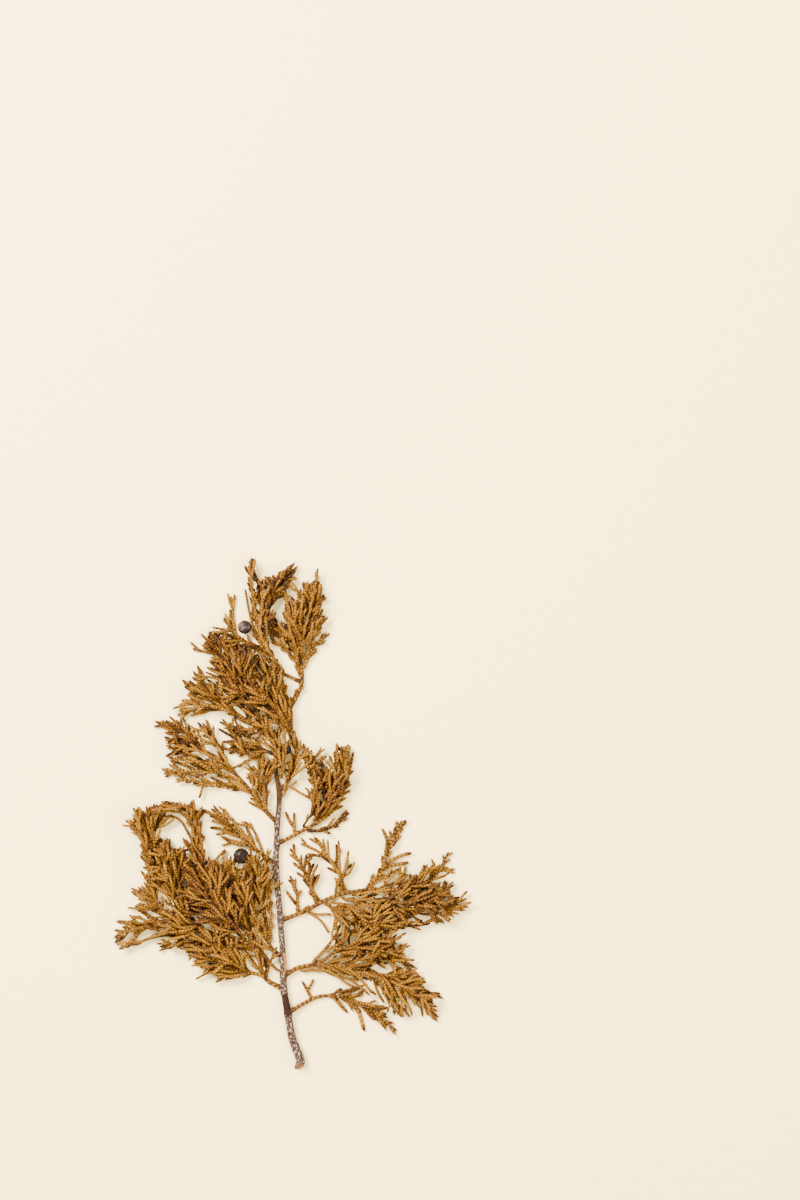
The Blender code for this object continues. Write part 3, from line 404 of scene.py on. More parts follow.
# Boughs that carry fine twigs of their own
LEAFY_BOUGHS = ("left_long_bough", "left_inner_bough", "left_high_bough", "right_long_bough",
                "right_rising_bough", "upper_left_bough", "right_top_bough")
# Regions of the branch, by how their sprays' names start
REGIONS = {
    "lower_left": ("left_foot", "arched_", "left_low", "left_far", "left_fan", "arch_", "left_rising",
                   "left_heart", "left_long", "left_stem"),
    "left_middle": ("left_edge", "left_inner", "left_core", "left_mid", "left_high"),
    "lower_right": ("right_low", "right_reach", "right_middle", "right_heart", "right_climb",
                    "right_long", "right_under", "right_rising"),
    "right_middle": ("right_tip", "right_mid_", "right_spur", "right_far", "right_high", "upright",
                     "outer_", "inner_", "near_"),
    "crown": ("upper_", "right_top", "crown_", "leader_"),
}
SPRAY_TONES = (3, 4, 4)  # places in the row of tones, from which each spray gets its own
BOUGH_TONE = 3
BOUGH_ROLL = 0.3  # how far the first pair of leaves is turned round a bough,
STEM_ROLL = 0.5  # and round the stem
TWIG_TONES = (-1, 0, 0, 0, 0, 1)  # how many tones lighter than its spray a twig may be,
LEAF_TONES = (0, 0, 0, 1)  # and how many darker than its twig a leaf
BOUGH_LEAF_DEPTH = 1.16  # where old scale leaves stand on a bough, of its radius
STEM_LEAVES_FROM = 112.0  # along the stem, where old scale leaves still hold
BROWN_BARK_FROM = 98.0  # along the stem, where the young brown bark begins
BROWN_BARK_WAVE = 2.5
# Painted shade: a twig that lies under others gets darker tones, standing in for the shade that falls there
SHADE_COVER_REACH = 0.7  # a twig counts as over another where it passes this near, seen from above,
SHADE_COVER_HEIGHT = 0.7  # and this much higher
SHADE_COVER_SEARCH = 3  # how far round a twig those over it are looked for
SHADE_COVER_STEPS = (0.35, 0.75)  # shares of a twig's length under others, past each of which it is painted a tone darker as shade
SHADED_FLANK_UP = 0.6  # a leaf that faces upwards by less than this is painted a tone darker, as shade on the twig's flanks and underside

# How twigs stand on others: their pitch, the longest, and how they shorten towards the tip
Habit = namedtuple("Habit", "pitch longest share")
SIDE_HABIT = Habit(3.3, 11.0, 0.9)
END_HABIT = Habit(4.6, 6.0, 0.6)
UNDER_HABIT = Habit(2.5, 12.0, 1.1)
BOUGH_HABIT = Habit(2.0, 11.0, 1.3)

# Clear places between the sprays, where they stay open, and just outside them: x, y and radius
OPENINGS = np.array((
    # round the crown's three points
    (-22.6, 178.4, 1.2), (-22.2, 170.2, 1.3), (-7.7, 171.5, 1.6), (-7.9, 168.2, 1.3), (-23.6, 181.2, 1.8),
    (1.4, 184.4, 2.4), (3.8, 183.9, 2.2), (-4.0, 178.6, 0.7), (-1.6, 175.9, 0.7), (-11.2, 187.2, 3.2),
    (-8.0, 188.4, 2.8), (-14.8, 183.8, 1.6), (-5.0, 188.2, 1.0), (0.6, 179.9, 0.9),
    (-14.0, 187.8, 2.4), (12.0, 178.4, 3.0), (10.8, 172.4, 2.0), (10.8, 165.4, 1.6),
    (10.3, 182.8, 2.8), (-4.3, 149.8, 1.3),
    (-35.8, 152.4, 2.0), (-38.0, 153.2, 1.5), (-31.4, 168.4, 1.6), (-20.5, 164.7, 2.7), (-37.6, 159.8, 1.9),
    (-47.5, 136.6, 2.2), (-43.6, 141.2, 1.8), (-41.6, 147.6, 1.5), (-4.2, 145.0, 1.2), (-3.3, 140.6, 1.4),
    (-1.3, 131.5, 1.3),
    # between the combs of the high left sprays
    (-33.2, 118.6, 1.6), (-36.2, 116.4, 1.3), (-29.0, 124.8, 1.7), (-27.2, 120.0, 1.0), (-24.9, 114.8, 1.6),
    (-22.2, 109.4, 1.9), (-32.4, 129.6, 1.5), (-52.6, 120.0, 2.5), (-52.8, 124.3, 1.7),
    (-32.4, 108.8, 1.0), (-44.7, 103.6, 2.0), (-20.4, 116.0, 1.0), (-19.8, 106.8, 0.9), (-20.4, 100.4, 1.5),
    # over and under the arch
    (-47.2, 102.5, 3.1), (-42.0, 102.1, 2.9), (-33.4, 99.4, 2.6), (-52.4, 101.5, 2.7), (-38.0, 98.2, 1.2),
    (-34.6, 97.4, 1.2), (-46.9, 89.2, 2.9), (-50.4, 87.2, 2.0), (-46.0, 84.0, 2.0), (-35.2, 88.8, 1.7),
    (-65.2, 95.0, 2.4), (-62.2, 100.0, 2.7), (-57.0, 100.4, 2.5), (-62.4, 81.8, 3.0), (-60.8, 76.4, 2.5),
    (-60.8, 70.0, 2.4), (-62.4, 61.8, 1.6),
    # over the high right spray and beside it
    (16.2, 123.6, 3.1), (9.6, 121.8, 2.2), (21.2, 121.7, 2.6), (22.2, 113.8, 3.2), (21.8, 108.2, 2.5),
    (2.6, 122.4, 1.6),
    # between the points of the right middle spray, and under it
    (46.3, 76.9, 0.9), (51.9, 77.5, 1.6), (57.2, 71.0, 1.5), (51.9, 82.8, 3.0), (42.8, 74.4, 1.9),
    (59.2, 66.2, 2.3), (63.8, 56.4, 1.9), (58.6, 53.6, 2.0), (53.0, 51.4, 1.6), (47.4, 52.0, 1.6),
    (41.2, 42.8, 1.5),
    # between the fingers of the feathers right of the stem
    (4.2, 86.8, 1.5), (9.0, 87.0, 1.0), (1.9, 81.6, 1.5),
    # between the fingers of the lowest right sprays
    (43.8, 20.7, 1.5), (41.4, 24.0, 0.8),
    (34.0, 36.6, 1.0), (46.8, 36.9, 2.2), (48.9, 33.2, 1.5), (48.9, 29.9, 1.7), (51.2, 29.6, 1.4),
    (51.9, 24.2, 1.6), (53.6, 21.6, 1.6), (24.8, 31.5, 1.5), (25.6, 27.8, 1.2), (43.4, 16.8, 2.0),
    (49.0, 16.6, 1.8),
    # under the lowest left spray
    (-23.0, 31.2, 2.2), (-28.0, 30.6, 1.2), (-33.6, 32.4, 2.1), (-38.6, 35.4, 2.2), (-43.4, 39.6, 1.8),
    (-47.4, 43.4, 1.3),
))

# Open sprays, which get no finer twigs, and sprays of single fingers, which get only long ones
OPEN_SPRAYS = ("right_low_fork", "upright_shoots", "outer_feather", "inner_feather", "near_feather",
               "right_climb_spray", "outer_curl", "outer_second", "outer_third", "outer_fourth",
               "outer_low", "inner_curl", "inner_second", "right_low_second", "right_low_upper",
               "right_low_side", "right_low_long", "right_low_inner")
TUFTED = {"crown_left_spray": 1}
TUFT_HABIT = Habit(2.2, 3.6, 0.4)
FINGER_SPRAYS = ("right_low_spray", "right_high_low_spray", "left_mid_spray", "left_far_spray",
                 "left_high_edge_spray", "right_spur_spray", "leader_right_spray", "left_high_low_spray")
# Sprays with room between their side twigs
LOOSE_SPRAYS = ("leader_spray", "crown_top_spray", "left_high_spray", "right_high_inner_spray",
                "right_tip_spray", "right_far_spray", "crown_left_spray")
# Sprays that lie several layers deep
DENSE_SPRAYS = ("left_heart_spray", "left_core_spray", "left_rising_spray", "left_inner_spray",
                "left_low_spray", "upper_rising_spray", "right_top_spray", "upper_left_spray",
                "leader_spray", "crown_top_spray", "upper_middle", "upper_inner", "upper_cover",
                "left_stem", "left_long_middle", "left_long_low", "left_heart_low", "left_long_edge",
                "crown_heart", "right_heart_spray", "right_high_fan")


def finger(name, on, at, way):
    """A loose spray that is hardly more than its stalk."""
    return Spray(name, on, at, way, left=1, right=1, splay=20, pitch=30)


# Loose sprays that fill the branch where it is densest
FILLINGS = (
    Spray("crown_peak", "crown_left_bough", 10.0,
          ((-13.4, 160.0), (-15.4, 167.0), (-17.2, 175.0), (-18.6, 187.8)), 4.0, 3.4, 16),
    Spray("crown_left_rim", "crown_left_bough", 8.5,
          ((-14.4, 158.4), (-17.0, 163.6), (-18.8, 170.4), (-20.2, 178.6)), 3.0, 3.0, 16),
    Spray("leader_rim", STEM, 147.0,
          ((-0.9, 150.2), (-3.4, 153.8), (-6.6, 157.0), (-11.0, 160.4)), 0.8, 6.0, 24),
    Spray("leader_tip", STEM, 150.5,
          ((0.9, 156.0), (1.9, 163.0), (4.3, 172.0), (6.0, 180.0), (7.0, 186.4)), 1.8, 1.8, 14),
    Spray("crown_heart", "crown_left_bough", 4.0,
          ((-11.0, 149.2), (-15.5, 152.0), (-20.5, 155.0)), 3.5, 3.5, 26),
    Spray("crown_comb", "crown_left_bough", 6.0,
          ((-12.0, 157.0), (-14.6, 163.0), (-13.8, 170.0), (-13.4, 179.0)), 3.4, 3.4, 16),
    Spray("crown_bridge", STEM, 151.0,
          ((-1.4, 157.0), (-3.6, 164.0), (-4.2, 171.0), (-5.2, 178.6)), 4, 4, 20),
    Spray("upper_middle", "upper_left_bough", 10.0,
          ((-22.0, 136.0), (-27.0, 143.0), (-32.5, 151.5)), 8, 8, 28),
    Spray("upper_inner", "upper_left_bough", 2.5,
          ((-12.5, 131.5), (-15.5, 138.5), (-20.0, 147.0)), 6, 7, 26),
    Spray("upper_under", "upper_left_bough", 5.5,
          ((-17.0, 124.5), (-23.0, 126.0), (-30.0, 129.0)), 4, 5, 26),
    Spray("upper_cover", "right_top_bough", 6.0,
          ((-6.0, 112.0), (-8.0, 119.0), (-12.0, 126.5), (-17.0, 133.0)), 7, 6, 28),
    Spray("upper_stem", STEM, 103.5,
          ((-6.5, 108.0), (-5.5, 114.0), (-5.0, 121.0), (-6.0, 128.0)), 4, 4, 22),
    Spray("upper_low_inner", STEM, 111.0, ((-12.5, 113.5), (-17.5, 116.0), (-24.0, 119.0)), 5, 5, 28),
    Spray("left_stem", "left_inner_bough", 3.0,
          ((-10.6, 50.0), (-10.9, 60.0), (-11.8, 70.0), (-13.2, 80.0)), 5, 3, 22),
    Spray("left_long_middle", "left_long_bough", 18.0,
          ((-31.0, 53.0), (-37.0, 58.5), (-43.0, 64.5), (-46.0, 70.0)), 8, 8, 28),
    Spray("left_long_low", "left_long_bough", 24.0,
          ((-38.0, 52.5), (-46.0, 56.0), (-53.5, 60.5)), 6, 5, 26),
    Spray("left_long_tip", "left_long_bough", 34.0,
          ((-50.5, 49.0), (-57.0, 47.5), (-62.5, 45.2)), 6, 4, 24),
    Spray("left_long_edge", "left_long_bough", 8.0,
          ((-23.0, 45.8), (-30.0, 46.6), (-37.0, 46.6)), 4, 4, 24),
    Spray("left_heart_low", "left_long_bough", 3.5,
          ((-14.5, 45.5), (-16.0, 52.0), (-17.0, 60.0), (-19.5, 68.0)), 5, 5, 24),
    Spray("left_high_comb", "left_high_bough", 22.0,
          ((-28.4, 113.6), (-33.0, 116.2), (-39.0, 118.6), (-46.5, 119.8)), 5, 5, 24),
    Spray("left_high_comb_low", "left_high_bough", 21.0,
          ((-28.0, 111.8), (-34.0, 113.6), (-41.0, 114.6), (-48.6, 115.4)), 4, 4, 22),
    Spray("left_high_tuft", "left_high_bough", 18.0,
          ((-27.0, 114.0), (-29.6, 118.4), (-32.8, 122.2), (-37.4, 127.4)), 3.6, 3.6, 24),
    Spray("left_high_stem", "left_high_bough", 2.0,
          ((-12.4, 97.5), (-12.2, 102.0), (-12.6, 108.0)), 3.4, 3.4, 16),
    Spray("left_mid_long", "left_mid_bough", 99,
          ((-19.0, 85.0), (-24.0, 90.8), (-28.6, 96.6)), 3.4, 3.0, 16),
    Spray("left_mid_curl", "left_mid_bough", 4.0,
          ((-14.8, 83.0), (-17.0, 88.0), (-20.4, 91.8)), 3.0, 3.0, 16, 6),
    Spray("left_long_rim", "left_long_bough", 31.0,
          ((-47.6, 50.2), (-54.0, 48.8), (-60.0, 46.8), (-66.0, 44.8)), 3.4, 3.4, 20),
    Spray("left_far_low", "left_long_bough", 37.0,
          ((-51.5, 53.4), (-57.0, 54.8), (-62.0, 56.6)), 3.4, 3.4, 22),
    Spray("upper_edge", "upper_left_bough", 9.0,
          ((-20.0, 136.0), (-25.0, 141.5), (-30.0, 145.4), (-35.0, 147.6)), 4, 4, 24),
    Spray("right_high_base", "right_high_bough", 6.0,
          ((2.6, 91.6), (5.4, 96.0), (7.4, 101.0)), 3.4, 3.4, 22),
    finger("right_high_tie", STEM, 98.0, ((-4.0, 104.6), (0.0, 102.6), (4.6, 100.0))),
    Spray("right_spur_foot", "right_mid_bough", 32.0,
          ((29.6, 69.4), (33.0, 71.8), (37.4, 74.0)), 3.4, 3.4, 22),
    finger("right_mid_tie", "right_mid_bough", 5.0, ((1.6, 58.6), (6.0, 57.0), (12.0, 57.0))),
    finger("right_mid_drop", "right_mid_bough", 6.5, ((4.0, 57.4), (8.0, 54.6), (11.0, 50.0))),
    finger("right_low_inner", "right_long_bough", 99, ((27.9, 32.6), (29.0, 28.4), (31.6, 23.8))),
    finger("right_low_long", "right_long_bough", 99,
          ((29.4, 33.0), (31.2, 28.4), (34.2, 23.2), (38.2, 18.6))),
    finger("right_low_second", "right_low_bough", 99, ((13.0, 25.4), (15.2, 22.8), (17.2, 20.6))),
    finger("right_low_upper", "right_low_bough", 99, ((15.0, 28.0), (20.0, 29.2), (25.4, 30.8))),
    finger("right_low_side", "right_low_bough", 99,
          ((16.0, 26.0), (21.5, 23.4), (27.0, 22.2), (33.0, 22.4))),
    Spray("right_lower_comb", "right_lower_bough", 4.0,
          ((8.0, 36.0), (13.0, 34.2), (18.0, 33.0), (23.0, 32.4)), 3.4, 3.4, 20),
    Spray("leader_foot", STEM, 149.5, ((-1.4, 155.0), (-4.6, 160.0), (-8.6, 164.6)), 4, 4, 24),
    Spray("left_low_cover", "left_low_bough", 4.0,
          ((-14.4, 35.8), (-18.0, 39.6), (-21.8, 44.6)), 3.4, 3.4, 20),
    Spray("left_low_heart", STEM, 34.0, ((-10.6, 38.6), (-15.0, 41.0), (-20.0, 42.0)), 3.4, 3.4, 20),
    Spray("right_middle_tip", "right_long_bough", 9.0,
          ((25.6, 38.6), (30.0, 43.6), (35.4, 47.6), (40.0, 50.4)), 3, 3, 20),
    Spray("left_inner_edge", "arched_bough", 24.0,
          ((-33.4, 73.0), (-31.2, 77.4), (-27.6, 81.4)), 3.4, 2.4, 20),
    Spray("leader_low", STEM, 131.0, ((-4.4, 134.4), (-1.2, 139.4), (1.6, 143.8)), 2.4, 2.4, 20),
    Spray("leader_right_low", STEM, 151.5, ((3.0, 156.0), (5.4, 160.0), (8.4, 164.6)), 2.2, 2.2, 20),
    finger("outer_curl", "right_mid_bough", 24.2, ((16.2, 70.4), (18.6, 72.4), (20.9, 76.6))),
    finger("outer_second", "right_mid_bough", 24.0, ((16.0, 70.8), (17.6, 74.8), (18.4, 80.8))),
    finger("outer_third", "right_mid_bough", 23.4, ((15.3, 71.6), (15.1, 77.0), (14.7, 84.8))),
    finger("outer_fourth", "right_mid_bough", 23.2,
          ((15.0, 71.8), (12.6, 75.6), (11.2, 79.0), (10.7, 85.2))),
    finger("outer_low", "right_mid_bough", 23.0, ((14.6, 71.4), (10.5, 75.2), (4.6, 78.4))),
    finger("inner_curl", "right_mid_bough", 13.6, ((5.0, 66.4), (6.4, 69.2), (7.8, 72.2))),
    finger("inner_second", "right_mid_bough", 13.4, ((4.4, 67.8), (5.2, 71.8), (7.0, 75.8))),
    Spray("right_lower_fall", "right_lower_bough", 12.0,
          ((11.6, 37.2), (16.6, 34.0), (22.0, 30.6), (26.4, 26.8)), 3, 3, 16),
    Spray("right_long_fall", "right_long_bough", 2.0, ((19.4, 36.0), (23.6, 32.0), (27.4, 27.4)), 3, 3, 16),
    Spray("left_foot", "left_low_bough", 5.0, ((-16.4, 38.0), (-19.6, 42.0), (-23.4, 46.6)), 3.6, 3.6, 22),
    Spray("left_foot_rise", "left_low_bough", 3.0,
          ((-13.6, 36.2), (-15.0, 41.0), (-17.4, 45.4), (-18.0, 51.0)), 3.4, 3.4, 18),
    Spray("right_high_fan", "right_high_bough", 14.0, ((9.0, 98.0), (9.6, 106.0), (8.6, 114.0)), 7, 7, 20),
    Spray("right_high_comb", "right_high_bough", 14.8,
          ((11.0, 98.0), (13.4, 106.0), (13.8, 115.0)), 6, 5, 20),
    Spray("right_high_left", "right_high_bough", 13.2, ((7.2, 97.0), (6.4, 105.0), (5.0, 114.0)), 5, 5, 20),
    Spray("arch_cover", "arched_bough", 10.0,
          ((-38.6, 84.0), (-40.6, 90.0), (-43.4, 94.4), (-48.6, 95.8), (-52.8, 95.6)), 3.6, 3.6, 15),
    Spray("arch_edge", "arched_bough", 9.0,
          ((-36.6, 84.0), (-38.4, 90.5), (-41.2, 96.4), (-46.6, 98.0), (-51.4, 98.2)), 3.6, 3.6, 15),
    Spray("arch_under", "arched_bough", 11.0,
          ((-39.8, 83.0), (-42.0, 88.0), (-44.8, 92.4), (-49.2, 94.0)), 3.4, 3.4, 14),
    Spray("right_mid_comb", "right_mid_bough", 24.0, ((20.0, 64.2), (27.0, 65.4), (34.5, 66.2)), 4, 4, 22),
    Spray("right_mid_under", "right_mid_bough", 21.0, ((18.0, 62.4), (25.0, 62.6), (31.5, 61.6)), 4, 4, 22),
    Spray("right_mid_low", "right_mid_bough", 19.0, ((20.5, 62.0), (27.0, 59.8), (34.0, 58.4)), 4, 5, 24),
    Spray("right_mid_near", "right_mid_bough", 11.0, ((13.5, 61.2), (19.0, 60.4), (25.0, 58.2)), 3, 4, 22),
    Spray("right_low_hanging", "right_lower_bough", 9.5,
          ((12.5, 35.0), (17.5, 31.5), (21.5, 29.5)), 5, 2, 20),
    Spray("right_long_low", "right_long_bough", 3.0, ((14.0, 36.0), (20.0, 34.0), (26.0, 32.5)), 3, 3, 22),
    Spray("right_heart_upper", "right_rising_bough", 6.0,
          ((19.0, 49.5), (26.0, 51.5), (33.0, 52.0)), 5, 5, 26),
    Spray("right_heart_lower", "right_long_bough", 8.0,
          ((22.0, 40.0), (29.0, 42.5), (36.5, 43.5)), 4, 4, 26),
    Spray("right_rising_end", "right_rising_bough", 28.0,
          ((38.0, 52.5), (44.0, 52.8), (49.0, 53.5)), 4, 4, 26),
)

Twig = namedtuple("Twig", "points radii")  # points are rows of x, y, z


def smooth_way(corners, spacing):
    """Points about spacing apart on a smooth line through the corners."""
    corners = [np.array(c, float) for c in corners]
    padded = [2 * corners[0] - corners[1], *corners, 2 * corners[-1] - corners[-2]]
    fine = []
    for a, b, c, d in zip(padded, padded[1:], padded[2:], padded[3:]):
        for t in np.arange(0, 1, WAY_STEP):
            fine.append(0.5 * (2 * b + (c - a) * t + (2 * a - 5 * b + 4 * c - d) * t**2
                               + (3 * b - a - 3 * c + d) * t**3))
    fine.append(corners[-1])
    fine = np.array(fine)
    run = np.concatenate(([0], np.cumsum(np.linalg.norm(np.diff(fine, axis=0), axis=1))))
    count = max(2, round(run[-1] / spacing) + 1)
    at = np.linspace(0, run[-1], count)
    return np.column_stack([np.interp(at, run, fine[:, k]) for k in range(fine.shape[1])])


def run_along(points):
    """Distance of each point from the first, along the line."""
    return np.concatenate(([0], np.cumsum(np.linalg.norm(np.diff(points, axis=0), axis=1))))


def place_at(points, distance):
    """The place at a distance along a line, and the line's direction there."""
    run = run_along(points[:, :2])
    distance = min(max(distance, 0), run[-1])
    place = np.array([np.interp(distance, run, points[:, k]) for k in range(points.shape[1])])
    k = min(np.searchsorted(run, distance, side="right"), len(points) - 1)
    ahead = points[k, :2] - points[k - 1, :2]
    return place, ahead / np.linalg.norm(ahead)


def turned(direction, angle):
    """A flat direction turned to the left by an angle."""
    c, s = math.cos(angle), math.sin(angle)
    return np.array([c * direction[0] - s * direction[1], s * direction[0] + c * direction[1]])


def curving(start, heading, length, curl, count):
    """Points along a line that sets out in a heading and turns by curl towards its end."""
    flat = [start[:2]]
    for k in range(count - 1):
        flat.append(flat[-1] + turned(heading, curl * (k + 0.5) / (count - 1)) * length / (count - 1))
    return np.array(flat)


class Bars:
    """Straight bars, to find how near each comes to a place when seen from above.

    Their rows say where each starts and where it ends, and may go on with other numbers.
    """

    def __init__(self, rows):
        self.start, self.line = rows[:, :2], rows[:, 3:5] - rows[:, :2]
        self.height, self.rise = rows[:, 2], rows[:, 5] - rows[:, 2]
        self.square = np.maximum((self.line**2).sum(1), 1e-9)

    def near(self, place):
        """How far each bar is from a place, and its height where it comes nearest."""
        t = np.clip(((place - self.start) * self.line).sum(1) / self.square, 0, 1)
        away = np.linalg.norm(self.start + self.line * t[:, None] - place, axis=1)
        return away, self.height + self.rise * t


class Pile:
    """What is laid down so far, as short round bars, each known by its node and its twig."""

    def __init__(self):
        self.bars = np.zeros((0, 7))
        self.nodes = []
        self.twigs = []
        self.feet = {}  # where the sprays still to come will start
        self.solid = None  # the bars of the solid twigs, once these are laid

    def add(self, twig, node, number=0):
        bars = [(*a, *b, max(ra, rb)) for a, b, ra, rb
                in zip(twig.points, twig.points[1:], twig.radii, twig.radii[1:])]
        self.bars = np.vstack([self.bars, bars])
        self.nodes += [node] * len(bars)
        self.twigs += [number] * len(bars)

    def between(self, low, high):
        """Which bars come between two corners of a box, seen from above."""
        starts, ends = self.bars[:, :2], self.bars[:, 3:5]
        return ((np.minimum(starts, ends) < high) & (np.maximum(starts, ends) > low)).all(1)

    def heights(self, places, radius, owner, apart_from):
        """The least height of a twig's middle line at each place, over what its owner lies on.

        Owner is the twig's node with its parent twig's number. Apart_from names other nodes that
        don't count.
        """
        node, parent = owner
        least = np.full(len(places), radius * LOW)
        for name, foot in self.feet.items():
            if name not in apart_from:
                least[np.linalg.norm(places - foot, axis=1) < FOOT_ROOM] = PRESSED_THICKNESS
        nodes = np.array(self.nodes)
        same = nodes == node
        counted = ~(same & (np.array(self.twigs) == parent)) & ~np.isin(nodes, list(apart_from))
        bars = self.bars[counted]
        touch = bars[:, 6] + radius + np.where(same[counted], OWN_GAP, GAP)
        bars = Bars(bars)
        run = run_along(places)
        for k, place in enumerate(places):
            away, middle = bars.near(place)
            under = away < touch
            if run[k] < ROOT_ROOM:
                under &= ~same[counted]
            if under.any():
                lift = np.sqrt(touch[under] ** 2 - away[under] ** 2)
                least[k] = max(least[k], (middle[under] + lift).max())
        return least


def segment_of(run, distance):
    """Which stretch between two bends a distance falls in, and its share of that stretch."""
    k = min(np.searchsorted(run, distance, side="right") - 1, len(run) - 2)
    return k, (distance - run[k]) / (run[k + 1] - run[k])


def laid(flat, radii, first_height, pile, owner, apart_from=(), steepest=STEEPEST):
    """A twig on top of the pile, along a flat line from a given first height.

    It ends early where it would have to climb too steeply, and is None where too little is left.
    """
    run = run_along(flat)
    count = max(3, int(run[-1] / SAMPLE) + 1)
    at = np.linspace(0, run[-1], count)
    places = np.column_stack([np.interp(at, run, flat[:, k]) for k in range(2)])
    radius = float(max(radii))
    least = pile.heights(places, radius, owner, apart_from)
    heights = np.full(len(flat), radius * LOW)
    heights[0] = max(first_height, heights[0])
    for _ in range(LIFTING_ROUNDS):
        for s, need in zip(at, least):
            k, share = segment_of(run, s)
            lack = need - (heights[k] * (1 - share) + heights[k + 1] * share)
            if lack <= 0:
                continue
            if k > 0:
                lift = lack / ((1 - share) ** 2 + share**2)
                heights[k] += lift * (1 - share)
                heights[k + 1] += lift * share
            elif share > NEAR_FOOT:
                heights[1] += lack / share
    # A long drop is spread over the points after it
    for k in range(1, len(flat)):
        fall = steepest * (run[k] - run[k - 1])
        heights[k] = max(heights[k], heights[k - 1] - fall)
    good = len(flat)
    for s, need in zip(at, least):
        k, share = segment_of(run, s)
        rise = heights[k + 1] - heights[k]
        lack = need - (heights[k] + rise * share)
        too_high = heights[k + 1] + radius > PRESSED_THICKNESS
        if lack > CLOSEST or rise > steepest * (run[k + 1] - run[k]) or too_high:
            good = k + 1
            break
    if good < 2 or run[good - 1] < LEAST_TWIG:
        return None
    points = np.column_stack([flat[:good], heights[:good]])
    return Twig(points, np.array(radii[:good]))


def stem_twig(spacing):
    """The stem's middle line, with points about spacing apart, and its radii."""
    flat = smooth_way(STEM_WAY, spacing)
    run = run_along(flat)
    radii = np.interp(run, [s for s, _ in STEM_THICKNESS], [d / 2 for _, d in STEM_THICKNESS])
    return Twig(np.column_stack([flat, radii]), radii)


def foot_on(carrier, at, first_corner, radius):
    """Where a limb starts: just clear of its carrier's side, or of its tip."""
    place, ahead = place_at(carrier.points, at)
    reach = np.array(first_corner) - place[:2]
    heading = reach / np.linalg.norm(reach)
    sine = abs(heading[0] * ahead[1] - heading[1] * ahead[0])
    cosine = abs(float(heading @ ahead))
    run = run_along(carrier.points[:, :2])
    if at >= run[-1]:
        clear = GAP + radius * sine + carrier.radii[-1] * sine
    else:
        thick = float(np.interp(at, run, carrier.radii))
        clear = (thick + GAP + radius * cosine) / max(sine, LEAST_SINE)
    return np.array([*(place[:2] + heading * clear), place[2]])


def limb(name, on, at, way, foot_radius, tip_radius, grown, pile, spacing):
    """One tapering limb, laid from its foot along its way."""
    foot = foot_on(grown[on], at, way[0], foot_radius)
    flat = smooth_way([foot[:2], *way], spacing)
    radii = np.linspace(foot_radius, tip_radius, len(flat))
    return laid(flat, radii, foot[2], pile, (name, 0), {on, *pile.feet}, STEEPEST_LIMB)


def width_share(form, along):
    """How long a side twig is, as a share of the longest, at a share along its stalk."""
    foot, growth, fall, tip = FORMS[form]
    return min(1.0, foot + growth * along) * min(1.0, fall * (1 - along) + tip)


def twig_radii(radius, count):
    """A twig is thin at its root and a little thinner at its tip than between them."""
    return [ROOT_RADIUS] + [radius] * (count - 2) + [radius * TIP_SHARE]


def side_twig(start, heading, length, curl, radius, pile, owner):
    """A leafy twig from a place on its stalk, curving by curl towards its end."""
    count = max(2, round(length / TWIG_BEND) + 1)
    flat = curving(start, heading, length, curl, count)
    return laid(flat, twig_radii(radius, count), start[2], pile, owner)


def shoot_to(stalk, at, tip, pile, owner):
    """A single side twig from a place on its stalk to where its tip lies."""
    start, ahead = place_at(stalk.points, at)
    middle = start[:2] * 0.5 + np.array(tip) * 0.5
    length = np.linalg.norm(np.array(tip) - start[:2])
    middle = middle + ahead * length * SHOOT_BOW
    flat = smooth_way([start[:2], middle, tip], TWIG_BEND)
    return laid(flat, twig_radii(TWIG_RADIUS, len(flat)), start[2], pile, owner)


def grow_spray(spray, grown, pile):
    """The twigs of one spray: its stalk first, then its shoots, then its side twigs and theirs."""
    dice = random.Random(spray.name)
    stalk = limb(spray.name, spray.on, spray.at, spray.way, STALK_RADIUS, STALK_TIP_RADIUS,
                 grown, pile, TWIG_BEND)
    twigs = []
    keep(stalk, spray.name, twigs, pile)
    on_stalk = (spray.name, 0)
    for at, x, y in spray.shoots:
        keep(shoot_to(stalk, at, (x, y), pile, on_stalk), spray.name, twigs, pile)
    length = run_along(stalk.points[:, :2])[-1]
    side = 1
    at = FIRST_TWIG
    while at < length - LAST_TWIG:
        reach = (spray.left if side > 0 else spray.right) * width_share(spray.form, at / length)
        reach *= dice.uniform(*SIDE_SPREAD.length)
        angle = math.radians(spray.splay * dice.uniform(*SIDE_SPREAD.angle)) * side
        reach = min(reach, (length - at) / math.cos(angle) + PAST_TIP)
        curl = -CURL * angle * dice.uniform(*CURL_SPREAD)
        start, ahead = place_at(stalk.points, at)
        start[2] += dice.uniform(*ROOT_HEIGHTS)
        twig = side_twig(start, turned(ahead, angle), reach, curl, TWIG_RADIUS, pile, on_stalk)
        if keep(twig, spray.name, twigs, pile):
            add_second_twigs(spray.name, twigs, side, pile, dice)
        at += spray.pitch * dice.uniform(*SIDE_SPREAD.pitch)
        side = -side
    return twigs


def keep(twig, name, twigs, pile):
    """Adds a twig to its spray and to the pile, if there is one."""
    if twig is None:
        return False
    pile.add(twig, name, len(twigs))
    twigs.append(twig)
    return True


def add_second_twigs(name, twigs, side, pile, dice):
    """Adds shorter twigs to the latest side twig, on alternate sides."""
    number = len(twigs) - 1
    twig = twigs[number]
    length = run_along(twig.points[:, :2])[-1]
    at = SECOND_START
    while at < length - SECOND_END:
        start, ahead = place_at(twig.points, at)
        reach = min(SECOND_LONGEST, SECOND_SHARE * (length - at) + SECOND_SHORTEST)
        reach *= dice.uniform(*SECOND_SPREAD.length)
        angle = math.radians(SECOND_SPLAY * dice.uniform(*SECOND_SPREAD.angle)) * side
        shoot = side_twig(start, turned(ahead, angle), reach, -CURL * angle, SECOND_RADIUS, pile,
                          (name, number))
        keep(shoot, name, twigs, pile)
        at += SECOND_PITCH * dice.uniform(*SECOND_SPREAD.pitch)
        side = -side


